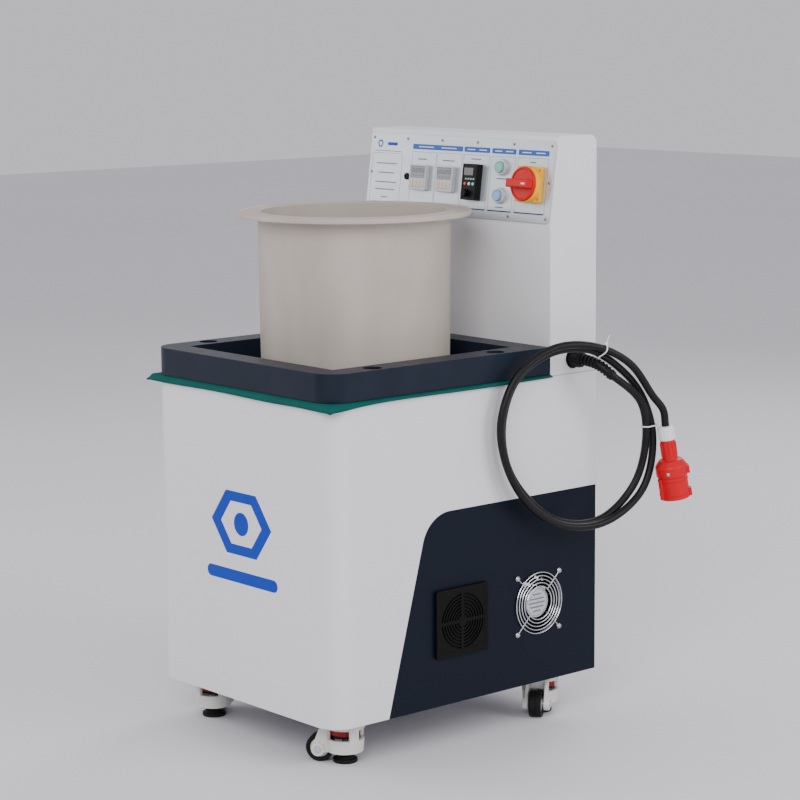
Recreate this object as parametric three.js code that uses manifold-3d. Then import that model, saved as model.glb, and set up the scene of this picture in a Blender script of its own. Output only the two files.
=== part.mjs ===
// A magnetic polishing tumbler on levelling castors: a sheet steel cabinet with a lift-off tub,
// a magnet disc turning under the deck, a control tower with a leaning panel, and its mains cord.
// Millimetres, +Z up, -Y is the front. The origin is on the floor, under the middle of the overall box.
import * as THREE from "three";
import { mergeVertices } from "three/addons/utils/BufferGeometryUtils.js";
import Module from "manifold-3d";

const wasm = await Module();
wasm.setup();

// ---- Driving dimensions ----

const GAP = 0.3; // left between pieces that touch
const RUNNING = 0.3; // radial clearance of turning and sliding pieces

const cabinet = { width: 520, depth: 632, height: 566, wall: 2, cornerRadius: 45, flange: 15 };
const deck = { thickness: 6, cableSlotWidth: 200, cableSlotDepth: 50 };
const mat = { thickness: 3, overhang: 9, droop: 14 };
const tray = { height: 50, pocketWidth: 415, pocketDepth: 414, pocketMiddle: -59.5 };
const trayBolt = { spacingX: 472, spacingY: 287, recessRadius: 17, recessDepth: 32, holeRadius: 5.5 };
const tub = { height: 299, radius: 175, footRadius: 172.5, wall: 5, floor: 8, behindPocketMiddle: 15 };
const tubFlange = { radius: 213.5, thickness: 9 };
const tower = { depth: 117, height: 433, wall: 2, shoulder: 274.6, leanDegrees: 7.45, rearRadius: 17 };
const panel = { width: 511, height: 149, thickness: 2, cornerRadius: 10, cutoutMargin: 16 };
const frameTube = { leg: 30, thickness: 3, insetSide: 17, insetFront: 17, insetBack: 16 };
const pan = { thickness: 3 };
const gusset = { size: 104, thickness: 6 };
const motorPlate = { depth: 240, thickness: 8, belowDeck: 66, boreRadius: 60 };
const motor = { radius: 78, length: 236, flangeRadius: 100, flangeThickness: 10, boxSize: 64 };
const shaft = { radius: 14, length: 66, engagement: 30 };
const magnetDisc = { radius: 150, thickness: 12, hubRadius: 32, hubHeight: 20, belowDeck: 8 };
const magnet = { radius: 16, height: 9, rings: [62, 118], perRing: 6 };
const inverter = { width: 130, depth: 140, height: 200, fin: 4 };
const timer = { size: 48, bodySize: 44.4, bezelDepth: 9, bodyDepth: 62, rise: -6.5, places: [-102, -27] };
const keypad = { width: 41, tall: 67, depth: 13, place: 49, rise: -8.5 };
const keypadKnob = { radius: 7, depth: 9, place: 44, rise: -29.5 };
const buzzer = { radius: 6.5, depth: 4, bodyRadius: 5, bodyDepth: 24, place: -141, rise: -6 };
const pushButton = { bezelRadius: 15, bezelDepth: 7, capRadius: 11, proud: 4.5, bodyDepth: 34, place: 122 };
const buttonRises = { start: 22.5, stop: -29.5 };
const isolator = { size: 65, plateDepth: 8, collarRadius: 33.5, collarDepth: 11, place: 202, rise: -5.5 };
const isolatorKnob = { radius: 31.5, discDepth: 5, gripLength: 58, gripWidth: 18, gripDepth: 15, shaft: 5 };
const vent = { height: 150, grilleY: -24.4, fanY: 168.7 };
const grille = { size: 124, depth: 8, skin: 3, rib: 6, rings: 3, recess: 108, throat: 100 };
const foam = { thickness: 4 };
const fan = { size: 120, depth: 38, boreRadius: 57.5, holeSpacing: 105, hubRadius: 29.5, blades: 5 };
const guard = { wire: 1.1, rings: [31, 37.5, 44, 50.5, 57], eyeRadius: 4.5 };
const castor = { height: 81, placeX: 194, placeY: 238, plate: 73, plateThickness: 3, hubRadius: 20, hubHeight: 8 };
const castorWheel = { radius: 25, width: 24, thumbClearance: 2.935, chamfer: 2, axleRadius: 4 };
const castorHousing = { topRadius: 36, bottomRadius: 32.5, bottom: 20, wall: 4, roof: 14 };
const castorFork = { inner: 15, arm: 6, boss: 5, bossRadius: 12 };
const thumbWheel = { radius: 27.5, low: 46, high: 61, teeth: 12, toothDepth: 1.6 };
const foot = { padRadius: 22, padHeight: 7, neckRadius: 18, neckHeight: 5, stemRadius: 6, stemTop: 66 };
const gland = { behindTowerFront: 57, aboveCabinet: 28, hexRadius: 17, hexDepth: 9, threadRadius: 12, threadInside: 12 };
const glandDome = { radius: 14.5, depth: 18 };
const relief = { radius: 10.5, length: 66 };
const leaving = { straight: 6, bend: 54, degrees: 62, fallDegrees: 54 };
const cord = { radius: 7, turnDegrees: 12, startDegrees: 20, stepDegrees: 30 };
const loops = { besideWall: 53, beforeGland: 43, belowGland: 123.5 };
const plug = { nutRadius: 16, nutLength: 26, neckRadius: 14.5, neckLength: 37, bodyRadius: 27.5 };
const plugBody = { collarRadius: 29.5, collarLength: 22, length: 74, wall: 3, mouthDepth: 40 };

// The distance of each cord point from the middle of its loops, one every stepDegrees, clockwise.
const cordRadii = [
  136, 150, 170, 179, 168, 153, 151, 154, 159, 154, 149, 140, 150,
  168, 186, 183, 173, 162, 159, 166, 170, 165, 157, 155, 161,
];
// How far each of those points stands out from the plane of the loops.
const cordSides = [
  16, 6, -4, -7, -7, -7, -7, -7, -7, -6, 1, 8, 4,
  3, 5, 7, 7, 7, 7, 7, 7, 9, 16, 23, 22,
];
const plugTop = { along: 180, up: -3, out: 22, tiltDegrees: 10 };

// Which way each castor trails: degrees from +X, anticlockwise from above.
const castors = [
  { name: "front_right", side: 1, end: -1, trail: 217 },
  { name: "front_left", side: -1, end: -1, trail: 128 },
  { name: "rear_right", side: 1, end: 1, trail: -53 },
  { name: "rear_left", side: -1, end: 1, trail: 64 },
];

// ---- Places worked out from them ----

const cabinetTop = castor.height + cabinet.height;
const deckBottom = cabinetTop - deck.thickness;
const matTop = cabinetTop + GAP + mat.thickness;
const trayBottom = matTop + GAP;
const trayTop = trayBottom + tray.height;
const frontY = -cabinet.depth / 2;
const backY = cabinet.depth / 2;
const sideX = cabinet.width / 2;
const towerFront = backY - tower.depth;
const towerBottom = cabinetTop + GAP;
const towerTop = towerBottom + tower.height;
const lean = THREE.MathUtils.degToRad(tower.leanDegrees);
const driveY = tray.pocketMiddle + tub.behindPocketMiddle;
const motorPlateTop = deckBottom - motorPlate.belowDeck + motorPlate.thickness;
const motorPlateBottom = motorPlateTop - motorPlate.thickness;
const ventZ = castor.height + vent.height;
// The wheel hangs beside the thumb wheel, and stands clear of its rim where the two overlap in height.
const wheelDip = Math.max(0, thumbWheel.low - castorWheel.radius);
const wheelHalfChord = Math.sqrt(Math.max(0, castorWheel.radius ** 2 - wheelDip ** 2));
const wheelOffset = thumbWheel.radius + castorWheel.thumbClearance + wheelHalfChord;
const glandZ = cabinetTop + gland.aboveCabinet;
const glandY = towerFront + gland.behindTowerFront;
const glandNose = GAP + gland.hexDepth + glandDome.depth;

// ---- Materials ----

function paint(color, roughness, metalness = 0) {
  return new THREE.MeshStandardMaterial({ color, roughness, metalness });
}
const whitePaint = paint(0xe9e8ea, 0.45);
const navyPaint = paint(0x232b38, 0.4);
const greenRubber = paint(0x0b6a5a, 0.7);
const greyPlastic = paint(0xafa8a0, 0.55);
const steel = paint(0x8e9094, 0.4, 0.9);
const zinc = paint(0xb7bac0, 0.3, 1);
const aluminium = paint(0xc4c8cc, 0.35, 0.9);
const motorPaint = paint(0x3b5a78, 0.5);
const blackPlastic = paint(0x141414, 0.5);
const blackRubber = paint(0x17181a, 0.65);
const foamBlack = paint(0x0d0d0d, 0.95);
const castIvory = paint(0xd6d6d2, 0.45);
const redPlastic = paint(0xb8141c, 0.4);
const plugRed = paint(0xd4212c, 0.4);
const plugWhite = paint(0xe8e8e8, 0.45);
const yellowPlastic = paint(0xf0b93c, 0.45);
const greenButton = paint(0x4fa79b, 0.4);
const blueButton = paint(0x7ba0cf, 0.4);

// ---- Solid modelling helpers ----

// A closed geometry as a solid; triangles that collapse on a lathe's axis are dropped.
function solidOf(geometry) {
  const bare = geometry.index ? geometry.toNonIndexed() : geometry.clone();
  bare.deleteAttribute("normal");
  bare.deleteAttribute("uv");
  const merged = mergeVertices(bare, 1e-3);
  const corners = merged.index.array;
  const kept = [];
  for (let i = 0; i < corners.length; i += 3) {
    const [a, b, c] = [corners[i], corners[i + 1], corners[i + 2]];
    if (a !== b && b !== c && c !== a) kept.push(a, b, c);
  }
  return new wasm.Manifold(
    new wasm.Mesh({
      numProp: 3,
      vertProperties: merged.attributes.position.array,
      triVerts: new Uint32Array(kept),
    }),
  );
}

function geometryOf(solid) {
  const mesh = solid.getMesh();
  const geometry = new THREE.BufferGeometry();
  geometry.setAttribute("position", new THREE.BufferAttribute(mesh.vertProperties, 3));
  geometry.setIndex(new THREE.BufferAttribute(mesh.triVerts, 1));
  geometry.computeVertexNormals();
  return geometry;
}

function joined(...solids) {
  return solids.flat().reduce((whole, next) => whole.add(next));
}

function cut(solid, ...tools) {
  return tools.flat().reduce((left, tool) => left.subtract(tool), solid);
}

function moved(solid, x, y, z) {
  return solid.translate([x, y, z]);
}

function box(x0, x1, y0, y1, z0, z1) {
  const geometry = new THREE.BoxGeometry(x1 - x0, y1 - y0, z1 - z0);
  return solidOf(geometry.translate((x0 + x1) / 2, (y0 + y1) / 2, (z0 + z1) / 2));
}

// The turn that takes a shape's (u, v, extrusion) to the row's axes, in cyclic order after the axis.
function basis(axis) {
  const [x, y, z] = [
    new THREE.Vector3(1, 0, 0),
    new THREE.Vector3(0, 1, 0),
    new THREE.Vector3(0, 0, 1),
  ];
  const turned = new THREE.Matrix4();
  if (axis === "x") return turned.makeBasis(y, z, x);
  if (axis === "y") return turned.makeBasis(z, x, y);
  return turned.makeBasis(x, y, z);
}

// A flat shape pushed along an axis. Along x it is drawn in (y, z), along y in (z, x), along z in (x, y).
function prism(shape, axis, from, to, curveSegments = 8) {
  const options = { depth: to - from, bevelEnabled: false, curveSegments };
  const geometry = new THREE.ExtrudeGeometry(shape, options);
  return solidOf(geometry.translate(0, 0, from).applyMatrix4(basis(axis)));
}

// A closed profile of [radius, height] points, anticlockwise, turned about an axis.
function turned(profile, axis, segments) {
  const points = profile.map(([r, h]) => new THREE.Vector2(r, h));
  if (profile[0][0] > 0) points.push(points[0].clone());
  const geometry = new THREE.LatheGeometry(points, segments);
  return solidOf(geometry.rotateX(Math.PI / 2).applyMatrix4(basis(axis)));
}

function rod(radius, axis, from, to, segments = 24) {
  return turned([[0, from], [radius, from], [radius, to], [0, to]], axis, segments);
}

function ring(inner, outer, axis, from, to, segments = 32) {
  return turned([[inner, from], [outer, from], [outer, to], [inner, to]], axis, segments);
}

function polygon(points) {
  return new THREE.Shape(points.map(([u, v]) => new THREE.Vector2(u, v)));
}

function roundedRectangle(width, height, radius) {
  const [w, h] = [width / 2, height / 2];
  const shape = new THREE.Shape();
  shape.moveTo(-w + radius, -h);
  shape.lineTo(w - radius, -h);
  shape.absarc(w - radius, -h + radius, radius, -Math.PI / 2, 0);
  shape.lineTo(w, h - radius);
  shape.absarc(w - radius, h - radius, radius, 0, Math.PI / 2);
  shape.lineTo(-w + radius, h);
  shape.absarc(-w + radius, h - radius, radius, Math.PI / 2, Math.PI);
  shape.lineTo(-w, -h + radius);
  shape.absarc(-w + radius, -h + radius, radius, Math.PI, Math.PI * 1.5);
  return shape;
}

function piece(name, material, solid) {
  const mesh = new THREE.Mesh(geometryOf(solid), material);
  mesh.name = name;
  return mesh;
}

function gathered(...members) {
  const group = new THREE.Group();
  group.add(...members.flat());
  return group;
}

// ---- Cabinet ----

// The cabinet's plan, inset all round, with rounded front corners and its back at a given y.
function cabinetPlan(inset, back) {
  const x = sideX - inset;
  const y = frontY + inset;
  const r = cabinet.cornerRadius - inset;
  const shape = new THREE.Shape();
  shape.moveTo(-x + r, y);
  shape.lineTo(x - r, y);
  shape.absarc(x - r, y + r, r, -Math.PI / 2, 0);
  shape.lineTo(x, back);
  shape.lineTo(-x, back);
  shape.lineTo(-x, y + r);
  shape.absarc(-x + r, y + r, r, Math.PI, Math.PI * 1.5);
  return shape;
}

const coverThickness = 2;
const flangeOuterY = backY - coverThickness - GAP;

function cabinetShell() {
  const [low, high] = [castor.height, cabinetTop];
  const outer = prism(cabinetPlan(0, backY), "z", low, high);
  const inner = prism(cabinetPlan(cabinet.wall, backY + 1), "z", low - 1, high + 1);
  const inside = sideX - cabinet.wall;
  const flanges = [-1, 1].map((side) => {
    const edges = [side * (inside - cabinet.flange), side * (inside + cabinet.wall / 2)];
    const [x0, x1] = edges.sort((a, b) => a - b);
    return box(x0, x1, flangeOuterY - cabinet.wall, flangeOuterY, low, deckBottom - GAP);
  });
  const fanHole = moved(rod(fan.boreRadius, "x", inside - 1, sideX + 1, 32), 0, vent.fanY, ventZ);
  const throat = grille.throat / 2;
  const grilleHole = box(
    inside - 1, sideX + 1,
    vent.grilleY - throat, vent.grilleY + throat,
    ventZ - throat, ventZ + throat,
  );
  return piece("cabinet_shell", whitePaint, cut(joined(cut(outer, inner), flanges), fanHole, grilleHole));
}

function rearCover() {
  const x = sideX - cabinet.wall - GAP;
  const [low, high] = [castor.height + 2, cabinetTop - 2];
  const plate = box(-x, x, backY - coverThickness, backY, low, high);
  const slots = [];
  for (let row = 0; row < 8; row += 1) {
    for (const side of [-1, 1]) {
      const z = castor.height + 90 + row * 18;
      slots.push(box(side * 110 - 60, side * 110 + 60, backY - 4, backY + 1, z, z + 6));
    }
  }
  return piece("cabinet_rear_cover", whitePaint, cut(plate, slots));
}

function deckPlate() {
  const inset = cabinet.wall + GAP;
  const plate = prism(cabinetPlan(inset, flangeOuterY), "z", deckBottom, cabinetTop);
  const half = deck.cableSlotWidth / 2;
  const slotY = (towerFront + backY) / 2;
  const slot = box(
    -half, half,
    slotY - deck.cableSlotDepth / 2, slotY + deck.cableSlotDepth / 2,
    deckBottom - 1, cabinetTop + 1,
  );
  return piece("deck_plate", steel, cut(plate, slot));
}

// ---- Frame of angle iron ----

const frameX = sideX - frameTube.insetSide;
const frameFront = frontY + frameTube.insetFront;
const frameBack = backY - frameTube.insetBack;
const frameBottom = castor.height + GAP + gusset.thickness;
const frameTop = deckBottom - GAP;

// An angle rail along y on one side, its flat leg at z and its upright leg above or below it.
function sideRail(side, z, up) {
  const { leg, thickness } = frameTube;
  const [x0, x1] = side > 0 ? [frameX - leg, frameX] : [-frameX, -frameX + leg];
  const [w0, w1] = side > 0 ? [frameX - thickness, frameX] : [-frameX, -frameX + thickness];
  const flat = up ? [z, z + thickness] : [z - thickness, z];
  const upright = up ? [z, z + leg] : [z - leg, z];
  return joined(
    box(x0, x1, frameFront, frameBack, ...flat),
    box(w0, w1, frameFront, frameBack, ...upright),
  );
}

function crossRail(front, z, up) {
  const { leg, thickness } = frameTube;
  const [y0, y1] = front ? [frameFront, frameFront + leg] : [frameBack - leg, frameBack];
  const [w0, w1] = front ? [frameFront, frameFront + thickness] : [frameBack - thickness, frameBack];
  const flat = up ? [z, z + thickness] : [z - thickness, z];
  const upright = up ? [z, z + leg] : [z - leg, z];
  return joined(box(-frameX, frameX, y0, y1, ...flat), box(-frameX, frameX, w0, w1, ...upright));
}

function cornerPost(side, front) {
  const { leg, thickness } = frameTube;
  const [x0, x1] = side > 0 ? [frameX - leg, frameX] : [-frameX, -frameX + leg];
  const [w0, w1] = side > 0 ? [frameX - thickness, frameX] : [-frameX, -frameX + thickness];
  const [y0, y1] = front ? [frameFront, frameFront + leg] : [frameBack - leg, frameBack];
  const [v0, v1] = front ? [frameFront, frameFront + thickness] : [frameBack - thickness, frameBack];
  return joined(
    box(x0, x1, v0, v1, frameBottom, frameTop),
    box(w0, w1, y0, y1, frameBottom, frameTop),
  );
}

function castorGusset(place) {
  const half = gusset.size / 2;
  const x = place.side * castor.placeX;
  const y = place.end * castor.placeY;
  const x0 = place.side > 0 ? x - half : -frameX;
  const x1 = place.side > 0 ? frameX : x + half;
  const y0 = place.end > 0 ? y - half : frameFront;
  const y1 = place.end > 0 ? frameBack : y + half;
  return box(x0, x1, y0, y1, castor.height + GAP, frameBottom + 1);
}

function baseFrame() {
  const rails = [];
  for (const side of [-1, 1]) {
    rails.push(sideRail(side, frameBottom, true));
    rails.push(sideRail(side, frameTop, false));
    rails.push(sideRail(side, motorPlateBottom - GAP, false));
    rails.push(cornerPost(side, true));
    rails.push(cornerPost(side, false));
  }
  for (const front of [true, false]) {
    rails.push(crossRail(front, frameBottom, true));
    rails.push(crossRail(front, frameTop, false));
  }
  const bottomPan = box(-frameX, frameX, frameFront, frameBack, frameBottom, frameBottom + pan.thickness);
  return piece("base_frame", steel, joined(rails, bottomPan, castors.map(castorGusset)));
}

// The plate that the motor hangs from, lying on the flat legs of the frame's middle rails.
function motorBridge() {
  const bridge = box(
    -frameX, frameX,
    driveY - motorPlate.depth / 2, driveY + motorPlate.depth / 2,
    motorPlateBottom, motorPlateTop,
  );
  const bore = moved(rod(motorPlate.boreRadius, "z", motorPlateBottom - 1, motorPlateTop + 1, 32), 0, driveY, 0);
  return piece("motor_bridge", steel, cut(bridge, bore));
}

// ---- Drive ----

const discTop = deckBottom - magnetDisc.belowDeck;
const discPlateTop = discTop - magnet.height;
const discPlateBottom = discPlateTop - magnetDisc.thickness;
const flangeTop = motorPlateBottom - GAP;
const shaftTop = discPlateTop - 2;
const shaftBottom = flangeTop - motor.flangeThickness - shaft.engagement;

function driveMotor() {
  const flangeBottom = flangeTop - motor.flangeThickness;
  const bottom = flangeBottom - motor.length;
  const body = turned(
    [
      [0, bottom],
      [motor.radius - 14, bottom],
      [motor.radius, bottom + 14],
      [motor.radius, flangeBottom - 12],
      [motor.radius - 6, flangeBottom],
      [motor.flangeRadius, flangeBottom],
      [motor.flangeRadius, flangeTop],
      [0, flangeTop],
    ],
    "z",
    28,
  );
  const half = motor.boxSize / 2;
  const terminalBox = box(
    -half, half,
    motor.radius - 8, motor.radius + 42,
    flangeBottom - 110, flangeBottom - 30,
  );
  const bore = rod(shaft.radius + RUNNING, "z", shaftBottom - 1, flangeTop + 1, 24);
  return piece("drive_motor", motorPaint, moved(cut(joined(body, terminalBox), bore), 0, driveY, 0));
}

function motorShaft() {
  return piece("motor_shaft", steel, moved(rod(shaft.radius, "z", shaftBottom, shaftTop, 24), 0, driveY, 0));
}

function magnetDiscPiece() {
  const plate = rod(magnetDisc.radius, "z", discPlateBottom, discPlateTop, 40);
  const hub = rod(magnetDisc.hubRadius, "z", discPlateBottom - magnetDisc.hubHeight, discPlateBottom + 1, 24);
  const magnets = [];
  for (const [row, distance] of magnet.rings.entries()) {
    for (let i = 0; i < magnet.perRing; i += 1) {
      const angle = ((i + row / 2) * 2 * Math.PI) / magnet.perRing;
      const block = rod(magnet.radius, "z", discPlateTop - 1, discTop, 8);
      magnets.push(moved(block, distance * Math.cos(angle), distance * Math.sin(angle), 0));
    }
  }
  const bore = rod(shaft.radius + GAP, "z", discPlateBottom - magnetDisc.hubHeight - 1, shaftTop + GAP, 24);
  return piece("magnet_disc", aluminium, moved(cut(joined(plate, hub, magnets), bore), 0, driveY, 0));
}

function inverterDrive() {
  const low = frameBottom + pan.thickness + GAP;
  const x1 = -50;
  const x0 = x1 - inverter.width;
  const y0 = 100;
  const body = box(x0, x1, y0, y0 + inverter.depth, low, low + inverter.height);
  const grooves = [];
  for (let y = y0 + 12; y < y0 + inverter.depth - 10; y += 12) {
    grooves.push(box(x0 - 1, x0 + 22, y, y + inverter.fin, low + 10, low + inverter.height + 1));
  }
  return piece("inverter_drive", blackPlastic, cut(body, grooves));
}

// ---- Worktop: mat, tray and tub ----

function rubberMat() {
  const x = sideX + mat.overhang;
  const y = frontY - mat.overhang;
  const back = towerFront - 1;
  const low = cabinetTop + GAP;
  const sheet = box(-x, x, y, back, low, matTop);
  const t = mat.thickness;
  const [bottom, top] = [matTop - mat.droop, matTop];
  const lips = joined(
    box(-x, x, y, y + t, bottom, top),
    box(-x, -x + t, y, back, bottom, top),
    box(x - t, x, y, back, bottom, top),
  );
  return piece("rubber_mat", greenRubber, joined(sheet, lips));
}

function trayFrame() {
  const outer = prism(cabinetPlan(0, towerFront - GAP), "z", trayBottom, trayTop);
  const { pocketWidth, pocketDepth, pocketMiddle } = tray;
  const pocket = box(
    -pocketWidth / 2, pocketWidth / 2,
    pocketMiddle - pocketDepth / 2, pocketMiddle + pocketDepth / 2,
    trayBottom - 1, trayTop + 1,
  );
  const holes = [];
  for (const x of [-trayBolt.spacingX / 2, trayBolt.spacingX / 2]) {
    for (const y of [-trayBolt.spacingY / 2, trayBolt.spacingY / 2]) {
      const recess = rod(trayBolt.recessRadius, "z", trayTop - trayBolt.recessDepth, trayTop + 1, 16);
      const hole = rod(trayBolt.holeRadius, "z", trayBottom - 1, trayTop, 8);
      holes.push(moved(joined(recess, hole), x, pocketMiddle + y, 0));
    }
  }
  return piece("tray_frame", navyPaint, cut(outer, pocket, holes));
}

function tubPiece() {
  const low = matTop + GAP;
  const top = low + tub.height;
  const rounding = 10;
  const body = turned(
    [
      [0, low],
      [tub.footRadius - rounding, low],
      [tub.footRadius, low + rounding],
      [tub.radius, top - tubFlange.thickness],
      [tubFlange.radius, top - tubFlange.thickness],
      [tubFlange.radius, top],
      [tub.radius - tub.wall, top],
      [tub.footRadius - tub.wall, low + tub.floor + rounding],
      [tub.footRadius - tub.wall - rounding, low + tub.floor],
      [0, low + tub.floor],
    ],
    "z",
    40,
  );
  return piece("tub", greyPlastic, moved(body, 0, driveY, 0));
}

// ---- Tower ----

// The tower's side profile in (y, z): upright to the shoulder, then leaning back to the top.
function towerProfile(inset, back, bottom) {
  const front = towerFront + inset;
  const shoulderZ = towerBottom + tower.shoulder;
  const top = towerTop - inset;
  const r = tower.rearRadius - inset;
  const shape = new THREE.Shape();
  shape.moveTo(front, bottom);
  shape.lineTo(back, bottom);
  shape.lineTo(back, top - r);
  shape.absarc(back - r, top - r, r, 0, Math.PI / 2);
  shape.lineTo(front + (top - shoulderZ) * Math.tan(lean), top);
  shape.lineTo(front, shoulderZ);
  return shape;
}

const rearEdge = towerTop - tower.rearRadius;

function towerShell() {
  const outer = prism(towerProfile(0, backY, towerBottom), "x", -sideX, sideX);
  const insideX = sideX - tower.wall;
  const inner = joined(
    prism(towerProfile(tower.wall, backY - tower.wall, towerBottom - 1), "x", -insideX, insideX),
    box(-insideX, insideX, backY - tower.wall - 1, backY + 1, towerBottom - 1, rearEdge),
  );
  const flanges = [-1, 1].map((side) => {
    const edges = [side * (insideX - cabinet.flange), side * (insideX + tower.wall / 2)];
    const [x0, x1] = edges.sort((a, b) => a - b);
    return box(x0, x1, flangeOuterY - tower.wall, flangeOuterY, towerBottom, rearEdge);
  });
  const glandHole = moved(
    rod(gland.threadRadius + GAP, "x", insideX - 1, sideX + 1, 24), 0, glandY, glandZ,
  );
  return piece("tower_shell", whitePaint, cut(joined(cut(outer, inner), flanges), glandHole, panelCutout()));
}

// Panel coordinates: x across, z up the slope from the shoulder, -y out of the panel.
function onPanel(solid) {
  return solid
    .rotate([-tower.leanDegrees, 0, 0])
    .translate([0, towerFront, towerBottom + tower.shoulder]);
}

function panelCutout() {
  const half = panel.width / 2 - panel.cutoutMargin;
  const low = panel.cutoutMargin;
  return onPanel(box(-half, half, -5, 12, low, panel.height - low));
}

function towerRearCover() {
  const x = sideX - tower.wall - GAP;
  const plate = box(-x, x, backY - coverThickness, backY, towerBottom + 2, rearEdge - GAP);
  const slots = [];
  for (let row = 0; row < 5; row += 1) {
    const z = towerTop - 160 + row * 16;
    slots.push(box(-70, 70, backY - 4, backY + 1, z, z + 5));
  }
  return piece("tower_rear_cover", whitePaint, cut(plate, slots));
}

// ---- Control panel ----

const panelBack = -GAP;
const panelFace = panelBack - panel.thickness;
const onFace = panelFace - GAP;
const panelMiddle = panel.height / 2 + 1;

// rise is measured from the middle of the panel.
function atPanel(name, material, solid, place, rise) {
  return piece(name, material, onPanel(moved(solid, place, 0, panelMiddle + rise)));
}

function controlPanel() {
  const { width, height, cornerRadius } = panel;
  const sheet = prism(roundedRectangle(height, width, cornerRadius), "y", panelFace, panelBack, 4);
  const timerHalf = timer.bodySize / 2 + GAP;
  const holes = timer.places.map((place) =>
    box(place - timerHalf, place + timerHalf, -9, 3, timer.rise - timerHalf, timer.rise + timerHalf),
  );
  const round = (place, rise, radius) => moved(rod(radius + GAP, "y", -9, 3, 16), place, 0, rise);
  holes.push(round(pushButton.place, buttonRises.start, pushButton.capRadius + 2));
  holes.push(round(pushButton.place, buttonRises.stop, pushButton.capRadius + 2));
  holes.push(round(buzzer.place, buzzer.rise, buzzer.bodyRadius));
  holes.push(round(isolator.place, isolator.rise, isolatorKnob.shaft + RUNNING));
  return atPanel("control_panel", aluminium, cut(sheet, holes), 0, 0);
}

function timerPiece(place, index) {
  const half = timer.size / 2;
  const bezel = box(-half, half, onFace - timer.bezelDepth, onFace, -half, half);
  const bodyHalf = timer.bodySize / 2;
  const body = box(-bodyHalf, bodyHalf, onFace - 1, timer.bodyDepth, -bodyHalf, bodyHalf);
  const window = box(-half + 5, half - 5, onFace - timer.bezelDepth - 1, onFace - timer.bezelDepth + 1, -2, half - 5);
  const solid = cut(joined(bezel, body), window);
  return atPanel(`timer_${index + 1}`, blackPlastic, solid, place, timer.rise);
}

function keypadPieces() {
  const [w, h] = [keypad.width / 2, keypad.tall / 2];
  const front = onFace - keypad.depth;
  const knobX = keypadKnob.place - keypad.place;
  const knobZ = keypadKnob.rise - keypad.rise;
  const spindle = moved(rod(2.5 + RUNNING, "y", front - 1, front + 6, 12), knobX, 0, knobZ);
  const body = cut(box(-w, w, front, onFace, -h, h), spindle);
  const knob = joined(
    rod(keypadKnob.radius, "y", front - RUNNING - keypadKnob.depth, front - RUNNING, 20),
    rod(2.5, "y", front - RUNNING - 1, front + 5, 12),
  );
  return [
    atPanel("keypad_body", blackPlastic, body, keypad.place, keypad.rise),
    atPanel("keypad_knob", blackPlastic, knob, keypadKnob.place, keypadKnob.rise),
  ];
}

function buzzerPiece() {
  const solid = joined(
    turned(
      [
        [0, onFace - buzzer.depth],
        [buzzer.radius - 2, onFace - buzzer.depth],
        [buzzer.radius, onFace - buzzer.depth + 2],
        [buzzer.radius, onFace],
        [0, onFace],
      ],
      "y",
      20,
    ),
    rod(buzzer.bodyRadius, "y", onFace - 1, buzzer.bodyDepth, 16),
  );
  return atPanel("buzzer", blackPlastic, solid, buzzer.place, buzzer.rise);
}

function pushButtonPieces(name, capMaterial, rise) {
  const { bezelRadius, bezelDepth, capRadius, proud, bodyDepth, place } = pushButton;
  const bore = capRadius + RUNNING;
  const barrel = capRadius + 2;
  const front = onFace - bezelDepth;
  const seat = 12;
  const bezel = turned(
    [
      [0, seat],
      [bore, seat],
      [bore, front],
      [bezelRadius - 2, front],
      [bezelRadius, onFace - 1],
      [bezelRadius, onFace],
      [barrel, onFace],
      [barrel, bodyDepth],
      [0, bodyDepth],
    ],
    "y",
    20,
  );
  const cap = turned(
    [
      [0, front - proud],
      [capRadius - 1.5, front - proud],
      [capRadius, front - proud + 1.5],
      [capRadius, seat - 6],
      [0, seat - 6],
    ],
    "y",
    20,
  );
  return [
    atPanel(`${name}_bezel`, zinc, bezel, place, rise),
    atPanel(`${name}_cap`, capMaterial, cap, place, rise),
  ];
}

function isolatorPieces() {
  const half = isolator.size / 2;
  const plateFront = onFace - isolator.plateDepth;
  const collarFront = plateFront - isolator.collarDepth;
  const bore = rod(isolatorKnob.shaft + RUNNING, "y", collarFront - 1, 5, 20);
  const body = cut(
    joined(
      prism(roundedRectangle(isolator.size, isolator.size, 3), "y", plateFront, onFace, 3),
      rod(isolator.collarRadius, "y", collarFront, plateFront + 1, 28),
    ),
    bore,
  );
  const knobBack = collarFront - RUNNING;
  const discFront = knobBack - isolatorKnob.discDepth;
  const gripHalf = [isolatorKnob.gripLength / 2, isolatorKnob.gripWidth / 2];
  const knob = joined(
    rod(isolatorKnob.radius, "y", discFront, knobBack, 28),
    box(-gripHalf[0], gripHalf[0], discFront - isolatorKnob.gripDepth, discFront + 1, -gripHalf[1], gripHalf[1]),
    rod(isolatorKnob.shaft, "y", knobBack - 1, 4, 20),
  );
  return [
    atPanel("isolator_plate", yellowPlastic, body, isolator.place, isolator.rise),
    atPanel("isolator_knob", redPlastic, knob, isolator.place, isolator.rise),
  ];
}

// ---- Side vents ----

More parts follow.
